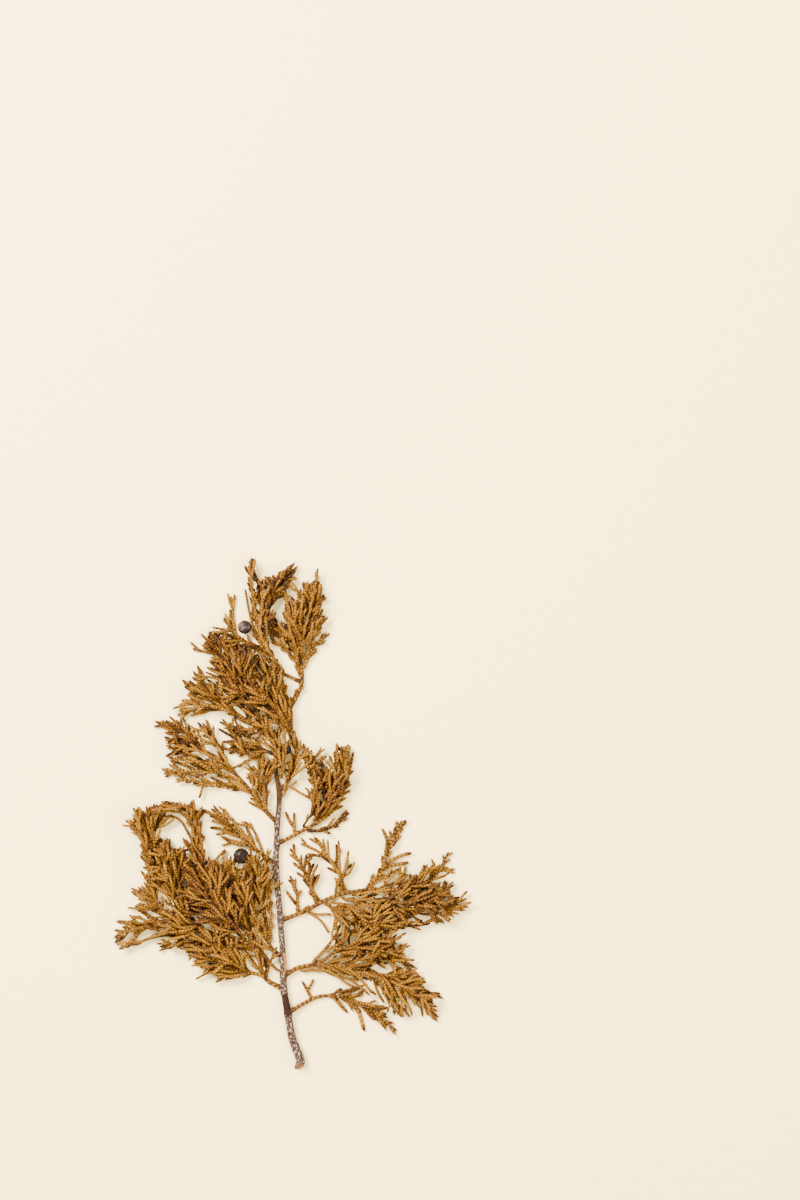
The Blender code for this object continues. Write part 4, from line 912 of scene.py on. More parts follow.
def cone_centre(cone):
    """The middle of a cone that lies on the ground."""
    return np.array([cone.x, cone.y, cone.width * CONE_FLATTENING / 2])


def cone_stalk(cone, stalk):
    """The short twig that carries a cone, ending just clear of its skin."""
    start, _ = place_at(stalk.points, cone.at)
    centre = cone_centre(cone)
    line = centre - start
    away = np.linalg.norm(line)
    end = start + line * (away - cone.width / 2 - GAP) / away
    middle = (start + end) / 2
    radii = [ROOT_RADIUS, CONE_STALK_RADIUS, CONE_STALK_RADIUS]
    return Twig(np.array([start, middle, end]), np.array(radii))


def grow():
    """Every limb and spray, laid in turn, and the pile that they make."""
    pile = Pile()
    grown = {STEM: stem_twig(STEM_BEND)}
    pile.add(grown[STEM], STEM)
    for cone in CONES:
        centre = cone_centre(cone)
        radius = cone.width / 2
        pile.add(Twig(np.array([centre, centre]), np.array([radius, radius])), cone.name)
    for bough in BOUGHS:
        twig = limb(bough.name, bough.on, bough.at, bough.way, bough.foot / 2, bough.tip / 2,
                    grown, pile, BOUGH_BEND)
        grown[bough.name] = twig
        pile.add(twig, bough.name)
    for spray in SPRAYS:
        foot = foot_on(grown[spray.on], spray.at, spray.way[0], STALK_RADIUS)
        pile.feet[spray.name] = foot[:2]
    sprays = {}
    for spray in SPRAYS:
        del pile.feet[spray.name]
        twigs = grow_spray(spray, grown, pile)
        for cone in CONES:
            if cone.spray == spray.name:
                keep(cone_stalk(cone, twigs[0]), spray.name, twigs, pile)
        sprays[spray.name] = twigs
    return grown, sprays, pile


def frame_shift():
    """From places measured at the cut end to the frame, found from a seed cone's box."""
    cone = CONES[1]
    low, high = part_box(cone.name)
    middle = (low + high) / 2
    return np.array([middle.x - cone.x * MM, middle.y - cone.y * MM, low.z])


SHIFT = frame_shift()


def in_frame(points):
    """Millimetres from the cut end, as metres in the frame."""
    return np.asarray(points) * MM + SHIFT


# Finer twigs


def cheapest_steps(cost, span):
    """For each level, the least cost of coming to it from one at most span away, and from which."""
    best = np.full(len(cost), np.inf)
    origin = np.zeros(len(cost), int)
    for offset in range(-span, span + 1):
        shifted = np.full(len(cost), np.inf)
        if offset >= 0:
            shifted[offset:] = cost[:len(cost) - offset]
        else:
            shifted[:offset] = cost[-offset:]
        shifted = shifted + abs(offset)
        better = shifted < best
        best[better] = shifted[better]
        origin[better] = (np.arange(len(cost)) - offset)[better]
    return best, origin


def threaded(flat, radii, first_height, pile, owner):
    """A fine twig between what lies over and under it, or None where it finds no way."""
    node, parent = owner
    radius = float(max(radii))
    levels = np.arange(radius * LOW, PRESSED_THICKNESS - radius, FINE_LEVEL)
    reach = radius + FINE_SEARCH
    near = np.flatnonzero(pile.between(flat.min(0) - reach, flat.max(0) + reach))
    same = np.array([pile.nodes[k] == node for k in near], bool)
    parents = np.array([pile.twigs[k] == parent for k in near], bool)
    near, same = near[~(same & parents)], same[~(same & parents)]
    bars = Bars(pile.bars[near])
    touch = pile.bars[near, 6] + radius + FINE_GAP
    run = run_along(flat)
    cost = np.abs(levels - first_height) / FINE_LEVEL
    cost[cost > FINE_START] = np.inf
    came_from = []
    for k in range(1, len(flat)):
        away, middle = bars.near(flat[k])
        under = away < touch
        if run[k] < ROOT_ROOM:
            under &= ~same
        lift = np.sqrt(touch[under] ** 2 - away[under] ** 2)
        free = (np.abs(levels[None] - middle[under][:, None]) >= lift[:, None]).all(0)
        span = max(1, int(FINE_STEEPEST * (run[k] - run[k - 1]) / FINE_LEVEL))
        best, origin = cheapest_steps(cost, span)
        best[~free] = np.inf
        if not np.isfinite(best).any():
            break
        came_from.append(origin)
        cost = best
    count = len(came_from) + 1
    if count < 3 or run[count - 1] < FINE_LEAST:
        return None
    level = int(np.argmin(cost))
    chosen = [level]
    for origin in reversed(came_from):
        level = int(origin[level])
        chosen.append(level)
    heights = levels[chosen[::-1]]
    heights[0] = first_height
    heights[1:-1] = (heights[:-2] + 2 * heights[1:-1] + heights[2:]) / 4
    return Twig(np.column_stack([flat[:count], heights]), np.array(radii[:count]))


def before_first(flags):
    """How many come before the first true one."""
    return int(np.argmax(flags)) if flags.any() else len(flags)


def before_openings(points):
    """How many points of a line lie before the first opening that it enters."""
    flat = np.array(points)[:, None, :2]
    return before_first((np.linalg.norm(flat - OPENINGS[:, :2], axis=2) < OPENINGS[:, 2]).any(1))


def within_reach(flat, pile):
    """How many points of a line lie before it leaves the reach of the solid twigs."""
    return before_first(np.array([pile.solid.near(point)[0].min() > FINE_BEYOND for point in flat]))


def opened(twigs):
    """A spray's twigs, each ending before an opening, without those that would hang loose."""
    kept = twigs[:1]
    for twig in twigs[1:]:
        points = shown_line(twig)
        count = before_openings(points)
        if count < len(points):
            if count < 3:
                continue
            radii = np.interp(run_along(points), run_along(twig.points), twig.radii)
            twig = Twig(points[:count], radii[:count])
        foot = twig.points[0, :2]
        others = [Bars(np.hstack([other.points[:-1], other.points[1:]])) for other in kept]
        if min(other.near(foot)[0].min() for other in others) < FOOT_REACH:
            kept.append(twig)
    return kept


def fine_twig(parent, at, angle, length, pile, owner, dice):
    """A fine twig from a place on its parent, turning back towards the parent's direction."""
    start, ahead = place_at(parent.points, at)
    count = max(3, round(length / FINE_STEP) + 1)
    curl = -CURL * angle * dice.uniform(*FINE_CURL_SPREAD)
    flat = curving(start, turned(ahead, angle), length, curl, count)
    flat = flat[:min(before_openings(flat), within_reach(flat, pile))]
    if len(flat) < 3:
        return None
    radius = FINE_RADIUS * dice.uniform(*FINE_RADIUS_SPREAD)
    radii = [FINE_ROOT_RADIUS] + [radius] * (len(flat) - 1)
    return threaded(flat, radii, start[2], pile, owner)


def roots_on(twig, others):
    """How far along a twig the others leave it."""
    found = []
    flat = twig.points[:, :2]
    run = run_along(flat)
    for other in others:
        root = other.points[0, :2]
        if np.linalg.norm(flat - root, axis=1).min() > TWIG_BEND:
            continue
        for a, b, before in zip(flat, flat[1:], run):
            line = b - a
            length = np.linalg.norm(line)
            t = float((root - a) @ line) / length**2
            if -PAST_END < t < 1 + PAST_END and np.linalg.norm(a + line * t - root) < AT_ROOT:
                found.append(before + t * length)
    return np.array(found)


def close_ranks(spray, twigs, pile, dice):
    """Long side twigs of a spray's stalk, between those of the solid and nearly as long."""
    stalk = twigs[0]
    length = run_along(stalk.points[:, :2])[-1]
    taken = roots_on(stalk, twigs[1:])
    side = 1
    at = FINE_FIRST
    while at < length - FINE_LAST / 2:
        if not len(taken) or np.abs(taken - at).min() > FINE_APART:
            reach = (spray.left if side > 0 else spray.right) * width_share(spray.form, at / length)
            reach = max(reach * dice.uniform(*RANK_SPREAD.length), FINE_SHORTEST)
            angle = math.radians(spray.splay * dice.uniform(*RANK_SPREAD.angle)) * side
            fine = fine_twig(stalk, at, angle, reach, pile, (spray.name, 0), dice)
            keep(fine, spray.name, twigs, pile)
            side = -side
            at += RANK_PITCH
        at += RANK_STEP


def refine(name, twigs, numbers, habit, pile, dice):
    """Gives some of a spray's twigs finer ones, on alternate sides between those they have."""
    for number in numbers:
        twig = twigs[number]
        length = run_along(twig.points[:, :2])[-1]
        taken = roots_on(twig, [other for other in twigs if other is not twig])
        side = dice.choice((-1, 1))
        at = FINE_FIRST * dice.uniform(*FINE_FIRST_SPREAD)
        while at < length - FINE_LAST:
            if not len(taken) or np.abs(taken - at).min() > FINE_APART:
                reach = min(habit.longest, habit.share * (length - at) + FINE_SHORTEST)
                reach *= dice.uniform(*FINE_SPREAD.length)
                angle = math.radians(FINE_SPLAY * dice.uniform(*FINE_SPREAD.angle)) * side
                fine = fine_twig(twig, at, angle, reach, pile, (name, number), dice)
                keep(fine, name, twigs, pile)
                side = -side
            at += habit.pitch * dice.uniform(*FINE_SPREAD.pitch)


def fill_in(filling, grown, pile):
    """A loose spray between the others: its stalk threaded through them, and its side twigs."""
    dice = random.Random(filling.name)
    carrier = grown[filling.on]
    stalk, length = None, 0
    for aside in FILLING_TRIES:
        foot = foot_on(carrier, filling.at + aside, filling.way[0], FINE_RADIUS)
        flat = smooth_way([foot[:2], *filling.way], FINE_STEP)
        radii = np.full(len(flat), STALK_TIP_RADIUS)
        tried = threaded(flat, radii, foot[2], pile, (filling.on, 0))
        reached = run_along(tried.points[:, :2])[-1] if tried else 0
        if reached > length * LONGER_STALK:
            stalk, length = tried, reached
    twigs = []
    keep(stalk, filling.name, twigs, pile)
    side = 1
    at = FINE_FIRST
    while at < length - FINE_LAST / 2:
        reach = (filling.left if side > 0 else filling.right) * width_share(filling.form, at / length)
        reach = max(reach * dice.uniform(*FILLING_SPREAD.length), FINE_SHORTEST)
        angle = math.radians(filling.splay * dice.uniform(*FILLING_SPREAD.angle)) * side
        fine = fine_twig(stalk, at, angle, reach, pile, (filling.name, 0), dice)
        keep(fine, filling.name, twigs, pile)
        at += filling.pitch * dice.uniform(*FILLING_SPREAD.pitch)
        side = -side
    return twigs


def grow_fine(grown, sprays, pile):
    """Adds the loose sprays, then the finer twigs of every spray and of the leafy boughs."""
    pile.solid = Bars(pile.bars)
    for name in list(sprays):
        sprays[name] = opened(sprays[name])
    for filling in FILLINGS:
        sprays[filling.name] = fill_in(filling, grown, pile)
    tables = {spray.name: spray for spray in SPRAYS}
    for name, twigs in sprays.items():
        if name in OPEN_SPRAYS:
            continue
        dice = random.Random(name + " fine")
        if name in tables and name not in LOOSE_SPRAYS:
            close_ranks(tables[name], twigs, pile, dice)
        if name in TUFTED:
            refine(name, twigs, [TUFTED[name]], TUFT_HABIT, pile, dice)
        if name in FINGER_SPRAYS:
            continue
        first = len(twigs)
        refine(name, twigs, range(first), SIDE_HABIT, pile, dice)
        refine(name, twigs, range(first, len(twigs)), END_HABIT, pile, dice)
        if name in DENSE_SPRAYS:
            refine(name, twigs, range(first), UNDER_HABIT, pile, dice)
    for name in LEAFY_BOUGHS:
        dice = random.Random(name + " fine")
        twigs = [grown[name]]
        refine(name, twigs, [0], BOUGH_HABIT, pile, dice)
        refine(name, twigs, range(1, len(twigs)), END_HABIT, pile, dice)
        sprays[name] = twigs[1:]


# Materials


SHEEN = 0.15
BLACK = (0, 0, 0)
WHITE = (255, 255, 255)
FLECK_EDGE = 0.05  # how softly a fleck of the bark begins
WAX_EDGE = 0.22  # the same for the wax of a cone
WAX = (200, 200, 200)  # how thick the wax is at most, white being opaque


def linear(colour):
    """A colour from 0 to 255 as scene linear values, with its fourth value."""
    shares = [c / 255 for c in colour]
    return (*(c / 12.92 if c <= 0.04045 else ((c + 0.055) / 1.055) ** 2.4 for c in shares), 1)


class Graph:
    """Adds nodes to its tree and joins them."""

    def give(self, node, inputs):
        """Sets inputs of a node, each to a value or to what another node gives."""
        for key, value in dict(inputs).items():
            if isinstance(value, bpy.types.NodeSocket):
                self.tree.links.new(value, node.inputs[key])
            else:
                node.inputs[key].default_value = value

    def add(self, kind, inputs=(), **settings):
        node = self.tree.nodes.new(kind)
        for key, value in settings.items():
            setattr(node, key, value)
        self.give(node, inputs)
        return node


class Finish(Graph):
    """A new material, whose nodes are added and joined here."""

    def __init__(self, name):
        self.material = bpy.data.materials.new(name)
        self.material.use_nodes = True
        self.tree = self.material.node_tree
        self.surface = self.tree.nodes["Principled BSDF"]
        self.give(self.surface, {"Specular IOR Level": SHEEN})

    def ramp(self, factor, stops):
        """A colour ramp, its stops as places and colours from 0 to 255."""
        node = self.add("ShaderNodeValToRGB", {"Fac": factor})
        band = node.color_ramp
        while len(band.elements) < len(stops):
            band.elements.new(0.5)
        for element, (place, colour) in zip(band.elements, stops):
            element.position = place
            element.color = linear(colour)
        return node.outputs["Color"]

    def mix(self, factor, a, b, blend="MIX"):
        colours = {0: factor, 6: a, 7: b}
        return self.add("ShaderNodeMix", colours, data_type="RGBA", blend_type=blend).outputs[2]

    def noise(self, place, scale, detail=4.0, roughness=0.6):
        inputs = {"Vector": place, "Scale": scale, "Detail": detail, "Roughness": roughness}
        return self.add("ShaderNodeTexNoise", inputs).outputs["Fac"]

    def bump(self, height, strength, distance):
        node = self.add("ShaderNodeBump", {"Height": height, "Strength": strength, "Distance": distance})
        self.give(self.surface, {"Normal": node.outputs["Normal"]})

    def finish(self, colour, roughness):
        self.give(self.surface, {"Base Color": colour, "Roughness": roughness})
        return self.material


def plain_material(name, colour, roughness):
    """One plain colour, for the small pieces whose tones are dealt out by spray."""
    return Finish(name).finish(linear(colour), roughness)


def along_stem(made, stretch):
    """The limb's own map in millimetres, drawn out along its length."""
    place = made.add("ShaderNodeTexCoord").outputs["UV"]
    drawn_out = made.add("ShaderNodeMapping", {"Vector": place, "Scale": (1, 1 / stretch, 1)})
    return drawn_out.outputs["Vector"]


def bark_material(name, dark, mid, light, fleck, fleck_share):
    """Fibrous bark, drawn out along the limb, with pale flecks."""
    made = Finish(name)
    fibre = made.noise(along_stem(made, 7), 2.6, 6, 0.62)
    blotch = made.noise(along_stem(made, 2), 0.55, 3, 0.5)
    colour = made.ramp(fibre, ((0.32, dark), (0.5, mid), (0.66, light)))
    colour = made.mix(0.35, colour, made.ramp(blotch, ((0.38, dark), (0.62, light))), "OVERLAY")
    flecks = made.noise(along_stem(made, 1.7), 1.5, 5, 0.7)
    spots = made.ramp(flecks, ((fleck_share, BLACK), (fleck_share + FLECK_EDGE, WHITE)))
    colour = made.mix(spots, colour, linear(fleck))
    made.bump(fibre, 0.5, 0.0003)
    return made.finish(colour, 0.85)


def peeled_material():
    """Bare inner bark where a strip has come away."""
    made = Finish("peeled_wood")
    fibre = made.noise(along_stem(made, 12), 3.5, 4, 0.55)
    colour = made.ramp(fibre, ((0.3, (122, 62, 12)), (0.5, (166, 98, 32)), (0.7, (182, 124, 60))))
    made.bump(fibre, 0.35, 0.0002)
    return made.finish(colour, 0.7)


def cut_wood_material():
    """The slanting cut, with torn fibres round a darker heart."""
    made = Finish("cut_wood")
    place = made.add("ShaderNodeTexCoord").outputs["UV"]
    inputs = {"Vector": place, "Scale": 1.1, "Distortion": 1.5, "Detail": 3.0, "Detail Scale": 2.0}
    rings = made.add("ShaderNodeTexWave", inputs, wave_type="RINGS", rings_direction="Z").outputs["Fac"]
    colour = made.ramp(rings, ((0.1, (74, 36, 10)), (0.6, (118, 72, 30)), (0.9, (140, 100, 56))))
    made.bump(made.noise(place, 4.0), 0.5, 0.0002)
    return made.finish(colour, 0.75)


def cone_material(name, skin, warm, bloom, bloom_from):
    """A dried seed cone's skin, dark under patches of pale wax."""
    made = Finish(name)
    place = made.add("ShaderNodeTexCoord").outputs["Object"]
    mottle = made.noise(place, 700, 4, 0.6)
    wax = made.noise(place, 380, 5, 0.65)
    colour = made.mix(made.ramp(mottle, ((0.42, BLACK), (0.66, WHITE))), linear(skin), linear(warm))
    patches = made.ramp(wax, ((bloom_from, BLACK), (bloom_from + WAX_EDGE, WAX)))
    colour = made.mix(patches, colour, linear(bloom))
    made.bump(mottle, 0.25, 0.0002)
    roughness = made.add("ShaderNodeMapRange", {"Value": wax, "To Min": 0.28, "To Max": 0.6})
    return made.finish(colour, roughness.outputs["Result"])


# Each tone of foliage: its name, the twig under the leaves, the leaves and their tips. The twig under the
# leaves is far darker than they are, as painted shade in the seams between the scales
TONES = (
    ("shade", (24, 10, 1), (44, 20, 1), (50, 24, 1)),
    ("umber", (30, 14, 1), (72, 39, 2), (80, 45, 3)),
    ("russet", (36, 18, 1), (95, 57, 3), (103, 64, 5)),
    ("brown", (42, 22, 2), (111, 71, 5), (120, 79, 8)),
    ("tawny", (48, 26, 3), (119, 78, 8), (129, 87, 12)),
    ("tan", (54, 31, 4), (130, 88, 12), (142, 99, 18)),
)


# Each kind of small piece: its place in the rows of tones, and its roughness
# the twig kind takes the darkest colour of each tone, painted shade where it shows between the scales
KINDS = {"twig": (1, 0.85), "leaf": (2, 0.7), "leaf_tip": (3, 0.62)}


def tone_materials(kind):
    """The materials of one kind of small piece, in the order of the tones."""
    place, roughness = KINDS[kind]
    return [plain_material(f"{tone[0]}_{kind}", tone[place], roughness) for tone in TONES]


# Trees of nodes that make twigs and leaves


class Tree(Graph):
    """A new tree of geometry nodes, with named inputs."""

    def __init__(self, name, sockets):
        self.tree = bpy.data.node_groups.new(name, "GeometryNodeTree")
        self.tree.interface.new_socket(name="Geometry", in_out="INPUT", socket_type="NodeSocketGeometry")
        self.keys = {}
        for label, kind in sockets:
            item = self.tree.interface.new_socket(name=label, in_out="INPUT", socket_type=kind)
            self.keys[label] = item.identifier
        self.tree.interface.new_socket(name="Geometry", in_out="OUTPUT", socket_type="NodeSocketGeometry")
        self.given = self.tree.nodes.new("NodeGroupInput").outputs
        self.result = self.tree.nodes.new("NodeGroupOutput").inputs["Geometry"]

    def attribute(self, name, kind):
        node = self.add("GeometryNodeInputNamedAttribute", {"Name": name}, data_type=kind)
        return node.outputs["Attribute"]

    def deal(self, geometry, materials, only=None):
        """Gives each tone's faces its material, all of them or only those of a kind."""
        tone = self.attribute("tone", "INT")
        for k, material in enumerate(materials):
            chosen = self.add("FunctionNodeCompare", {2: tone, 3: k}, data_type="INT", operation="EQUAL")
            chosen = chosen.outputs["Result"]
            if only is not None:
                both = self.add("FunctionNodeBooleanMath", {0: chosen, 1: only}, operation="AND")
                chosen = both.outputs["Boolean"]
            inputs = {"Geometry": geometry, "Selection": chosen, "Material": material}
            geometry = self.add("GeometryNodeSetMaterial", inputs).outputs["Geometry"]
        return geometry

    def end(self, geometry):
        self.tree.links.new(geometry, self.result)


def round_twig_tree(materials):
    """Round twigs along lines whose points say how thick they are."""
    made = Tree("round_twigs", (("Sides", "NodeSocketInt"),))
    curve = made.add("GeometryNodeMeshToCurve", {"Mesh": made.given["Geometry"]}).outputs["Curve"]
    thick = made.attribute("thickness", "FLOAT")
    ring = made.add("GeometryNodeCurvePrimitiveCircle", {"Resolution": made.given["Sides"], "Radius": 1.0})
    mesh = made.add("GeometryNodeCurveToMesh", {"Curve": curve, "Profile Curve": ring.outputs["Curve"],
                                                "Scale": thick, "Fill Caps": True}).outputs["Mesh"]
    mesh = made.add("GeometryNodeRealizeInstances", {"Geometry": mesh}).outputs["Geometry"]
    made.end(made.deal(mesh, materials))
    return made


def scale_leaf_tree(leaf_materials, tip_materials):
    """A scale leaf on each point, lying along its twig and facing out of it."""
    made = Tree("scale_leaves", (("Leaf", "NodeSocketObject"), ("Smallest", "NodeSocketFloat"),
                                 ("Largest", "NodeSocketFloat"), ("Seed", "NodeSocketInt")))
    leaf = made.add("GeometryNodeObjectInfo", {"Object": made.given["Leaf"]}).outputs["Geometry"]
    along, outward = made.attribute("along", "FLOAT_VECTOR"), made.attribute("outward", "FLOAT_VECTOR")
    turn = made.add("FunctionNodeAlignRotationToVector", {"Vector": along}, axis="X")
    turn = made.add("FunctionNodeAlignRotationToVector",
                    {"Rotation": turn.outputs["Rotation"], "Vector": outward}, axis="Z", pivot_axis="X")
    chance = made.add("FunctionNodeRandomValue", {2: made.given["Smallest"], 3: made.given["Largest"],
                                                  8: made.given["Seed"]}, data_type="FLOAT")
    size = made.add("ShaderNodeMath", {0: chance.outputs[1], 1: made.attribute("size", "FLOAT")},
                    operation="MULTIPLY")
    leaves = made.add("GeometryNodeInstanceOnPoints",
                      {"Points": made.given["Geometry"], "Instance": leaf,
                       "Rotation": turn.outputs["Rotation"], "Scale": size.outputs["Value"]})
    mesh = made.add("GeometryNodeRealizeInstances", {"Geometry": leaves.outputs["Instances"]})
    mesh = made.deal(mesh.outputs["Geometry"], leaf_materials)
    made.end(made.deal(mesh, tip_materials, made.attribute("tip", "BOOLEAN")))
    return made


def through_tree(name, start, made, inputs):
    """A plain mesh from a start mesh and a tree of nodes."""
    thing = added(name, start)
    step = thing.modifiers.new("grow", "NODES")
    step.node_group = made.tree
    for label, value in inputs.items():
        step[made.keys[label]] = value
    viewed = thing.evaluated_get(bpy.context.evaluated_depsgraph_get())
    mesh = bpy.data.meshes.new_from_object(viewed)
    thing.modifiers.remove(step)
    thing.data = mesh
    mesh.name = name
    return thing


def set_attribute(mesh, name, kind, values, domain="POINT"):
    """Gives a mesh a named value for each point or face."""
    layer = mesh.attributes.new(name, kind, domain)
    field = "vector" if kind == "FLOAT_VECTOR" else "value"
    layer.data.foreach_set(field, np.ascontiguousarray(values).ravel())


# Drawn twigs and their leaves

Drawn = namedtuple("Drawn", "points radii tone roll stalk")


def drawn_twig(twig, tone, stalk, share, dice):
    """A twig's line as it is shown: finer bends, a slight bow, and a rounded tip."""
    points = shown_line(twig)
    run = run_along(points)
    length = run[-1]
    if not stalk:
        bow = dice.uniform(-BOW, BOW) * length
        sway = dice.uniform(-BOW, BOW) * length * 0.5
        line = points[-1, :2] - points[0, :2]
        aside = np.array([-line[1], line[0]]) / max(np.linalg.norm(line), 1e-6)
        bend = np.sin(np.pi * run / length) * bow + np.sin(2 * np.pi * run / length) * sway
        points[:, :2] += np.outer(bend, aside)
    radii = np.interp(run, run_along(twig.points), twig.radii)
    if not stalk:
        radii = np.full(len(run), twig.radii[1:].max()) * dice.uniform(*DRAWN_SPREAD) * share
        radii *= np.interp(run, *ROOT_TAPER)
    radii *= np.interp(length - run, *TIP_TAPER)
    roll = dice.choice((0, math.pi / 2)) + dice.uniform(-ROLL_SPREAD, ROLL_SPREAD)
    return Drawn(points, radii, tone, roll, stalk)


def shown_line(twig):
    """A twig's middle line with the bends that are drawn."""
    points = twig.points
    if len(points) > 2:
        return smooth_way(points, VISIBLE_STEP)
    count = max(3, round(np.linalg.norm(points[-1] - points[0]) / VISIBLE_STEP) + 1)
    share = np.linspace(0, 1, count)[:, None]
    return points[0] * (1 - share) + points[-1] * share


def directions(points):
    """At each point of a line: ahead, across and up from it."""
    ahead = np.gradient(points, axis=0)
    ahead /= np.linalg.norm(ahead, axis=1)[:, None]
    across = np.cross(ahead, (0, 0, 1))
    across /= np.linalg.norm(across, axis=1)[:, None]
    return ahead, across, np.cross(across, ahead)


def leaf_places(twig):
    """Where the leaves of a drawn twig stand: place, along, outward and size of each."""
    run = run_along(twig.points)
    ahead, across, up = directions(twig.points)
    size = float(twig.radii.max()) / TWIG_RADIUS
    pitch = LEAF_PITCH * size
    places = []
    end = run[-1] - TIP_LEAVES * size
    for k, s in enumerate(np.arange(FIRST_LEAVES, end, pitch)):
        centre, forward, side, above, radius = (
            np.array([np.interp(s, run, row) for row in np.atleast_2d(values.T)])
            for values in (twig.points, ahead, across, up, twig.radii))
        tilt = LAST_LEAF_TILT if s > end - LAST_LEAVES * pitch else LEAF_TILT
        for half in (0, math.pi):
            angle = twig.roll + k * math.pi / 2 + half
            outward = side * math.cos(angle) + above * math.sin(angle)
            foot = centre + outward * radius * LEAF_DEPTH
            places.append((foot, forward - outward * tilt, outward, radius[0] / TWIG_RADIUS))
    return places


def scale_leaf():
    """One scale leaf, keeled, widest at its middle and pointed, lying on a twig."""
    half = LEAF_WIDTH / 2
    foot = half * LEAF_FOOT
    widest = LEAF_LENGTH * LEAF_WIDEST
    corners = [
        (-LEAF_BACK, -foot, LEAF_WRAP), (-LEAF_BACK, foot, LEAF_WRAP),
        (widest, -half, LEAF_WRAP), (widest, half, LEAF_WRAP),
        (LEAF_LENGTH * LEAF_KEEL, 0, LEAF_THICKNESS), (LEAF_LENGTH, 0, LEAF_LIFT),
    ]
    faces = [(0, 4, 2), (0, 1, 4), (1, 3, 4), (2, 4, 5), (4, 3, 5), (0, 2, 3, 1), (2, 5, 3)]
    mesh = bpy.data.meshes.new("scale_leaf")
    mesh.from_pydata([tuple(c * MM for c in corner) for corner in corners], [], faces)
    set_attribute(mesh, "tip", "BOOLEAN", [k in (3, 4) for k in range(len(faces))], "FACE")
    shape = bmesh.new()
    shape.from_mesh(mesh)
    bmesh.ops.recalc_face_normals(shape, faces=shape.faces)
    shape.to_mesh(mesh)
    shape.free()
    return bpy.data.objects.new("scale_leaf", mesh)


def region_of(spray_name):
    """The region of the branch that a spray or bough lies in."""
    for region, starts in REGIONS.items():
        if spray_name.startswith(starts):
            return region
    raise ValueError(spray_name)


def tone_with_painted_shade(base, shaded_share, dice):
    """A twig's tone: its spray's, and painted darker as shade the more it is covered by others."""
    tone = base + dice.choice(TWIG_TONES) - sum(shaded_share > step for step in SHADE_COVER_STEPS)
    return min(max(tone, 0), len(TONES) - 1)


def shaded_cover_share(twig, pile):
    """The share of a twig's length that has another twig over it, which sets how much painted shade it
    gets.
    """
    flat = twig.points[:, :2]
    bars = Bars(pile.bars[pile.between(flat.min(0) - SHADE_COVER_SEARCH, flat.max(0) + SHADE_COVER_SEARCH)])
    hidden = 0
    for point in twig.points:
        away, height = bars.near(point[:2])
        hidden += bool(((away < SHADE_COVER_REACH) & (height > point[2] + SHADE_COVER_HEIGHT)).any())
    return hidden / len(twig.points)


def foliage(grown, sprays, pile):
    """The twigs and scale leaves of every spray, joined by region and kind."""
    drawn = {region: [] for region in REGIONS}
    leafy = {region: [] for region in REGIONS}
    carriers = {spray.name: grown[spray.on] for spray in SPRAYS + FILLINGS}
    for name, twigs in sprays.items():
        dice = random.Random(name + " drawn")
        base = dice.choice(SPRAY_TONES)
        for k, twig in enumerate(twigs):
            stalk = k == 0 and name not in LEAFY_BOUGHS
            if stalk:
                twig = inside_carrier(twig, carriers[name])
            # painted shade: twigs covered by others get darker tones
            tone = tone_with_painted_shade(base, shaded_cover_share(twig, pile), dice)
            share = OPEN_SHARE if name in OPEN_SPRAYS + FINGER_SPRAYS else 1
            drawn[region_of(name)].append(drawn_twig(twig, tone, stalk, share, dice))
    for bough in BOUGHS:
        line, radii = bough_line(bough, grown)
        radii = radii * BOUGH_LEAF_DEPTH
        leafy[region_of(bough.name)].append(Drawn(line, radii, BOUGH_TONE, BOUGH_ROLL, stalk=True))
    line, radii = stem_twig(STEM_STEP)
    upper = run_along(line[:, :2]) > STEM_LEAVES_FROM
    radii = radii[upper] * BOUGH_LEAF_DEPTH
    leafy["crown"].append(Drawn(line[upper], radii, BOUGH_TONE, STEM_ROLL, stalk=True))
    twig_tree = round_twig_tree(tone_materials("twig"))
    leaf_tree = scale_leaf_tree(tone_materials("leaf"), tone_materials("leaf_tip"))
    leaf = scale_leaf()
    pieces = {}
    for region, twigs in drawn.items():
        pieces[region] = (twig_piece(region, twigs, twig_tree),
                          leaf_piece(region, twigs + leafy[region], leaf_tree, leaf))
    bpy.data.objects.remove(leaf)
    return pieces


def inside_carrier(twig, carrier):
    """A limb drawn back to its carrier's middle, across the clear space between the solids."""
    foot = twig.points[0]
    start, end = carrier.points[:-1], carrier.points[1:]
    line = end - start
    t = np.clip(((foot - start) * line).sum(1) / (line**2).sum(1), 0, 1)
    nearest = start + line * t[:, None]
    k = np.argmin(np.linalg.norm(nearest - foot, axis=1))
    nearest = nearest[k]
    if k == len(t) - 1 and t[k] > AT_TIP:
        nearest = end[k] - line[k] / np.linalg.norm(line[k]) * TIP_OVERLAP
    points = np.vstack([nearest, foot * OUTWARD + nearest * INWARD, twig.points[1:]])
    return Twig(points, np.concatenate([[twig.radii[0]] * 2, twig.radii[1:]]))


def twig_piece(region, twigs, made):
    """All the twigs of a region, without their leaves."""
    corners, edges, thick, tones = [], [], [], []
    for twig in twigs:
        first = len(corners)
        corners += list(in_frame(twig.points))
        edges += [(first + k, first + k + 1) for k in range(len(twig.points) - 1)]
        core = twig.radii * CORE_SHARE
        if not twig.stalk:
            core[-1] *= CORE_POINT
        thick += list(core * MM)
        tones += [twig.tone] * len(twig.points)
    mesh = bpy.data.meshes.new(region)
    mesh.from_pydata(corners, edges, [])
    set_attribute(mesh, "thickness", "FLOAT", thick)
    set_attribute(mesh, "tone", "INT", tones)
    return through_tree(region + "_twigs", mesh, made, {"Sides": CORE_SIDES})


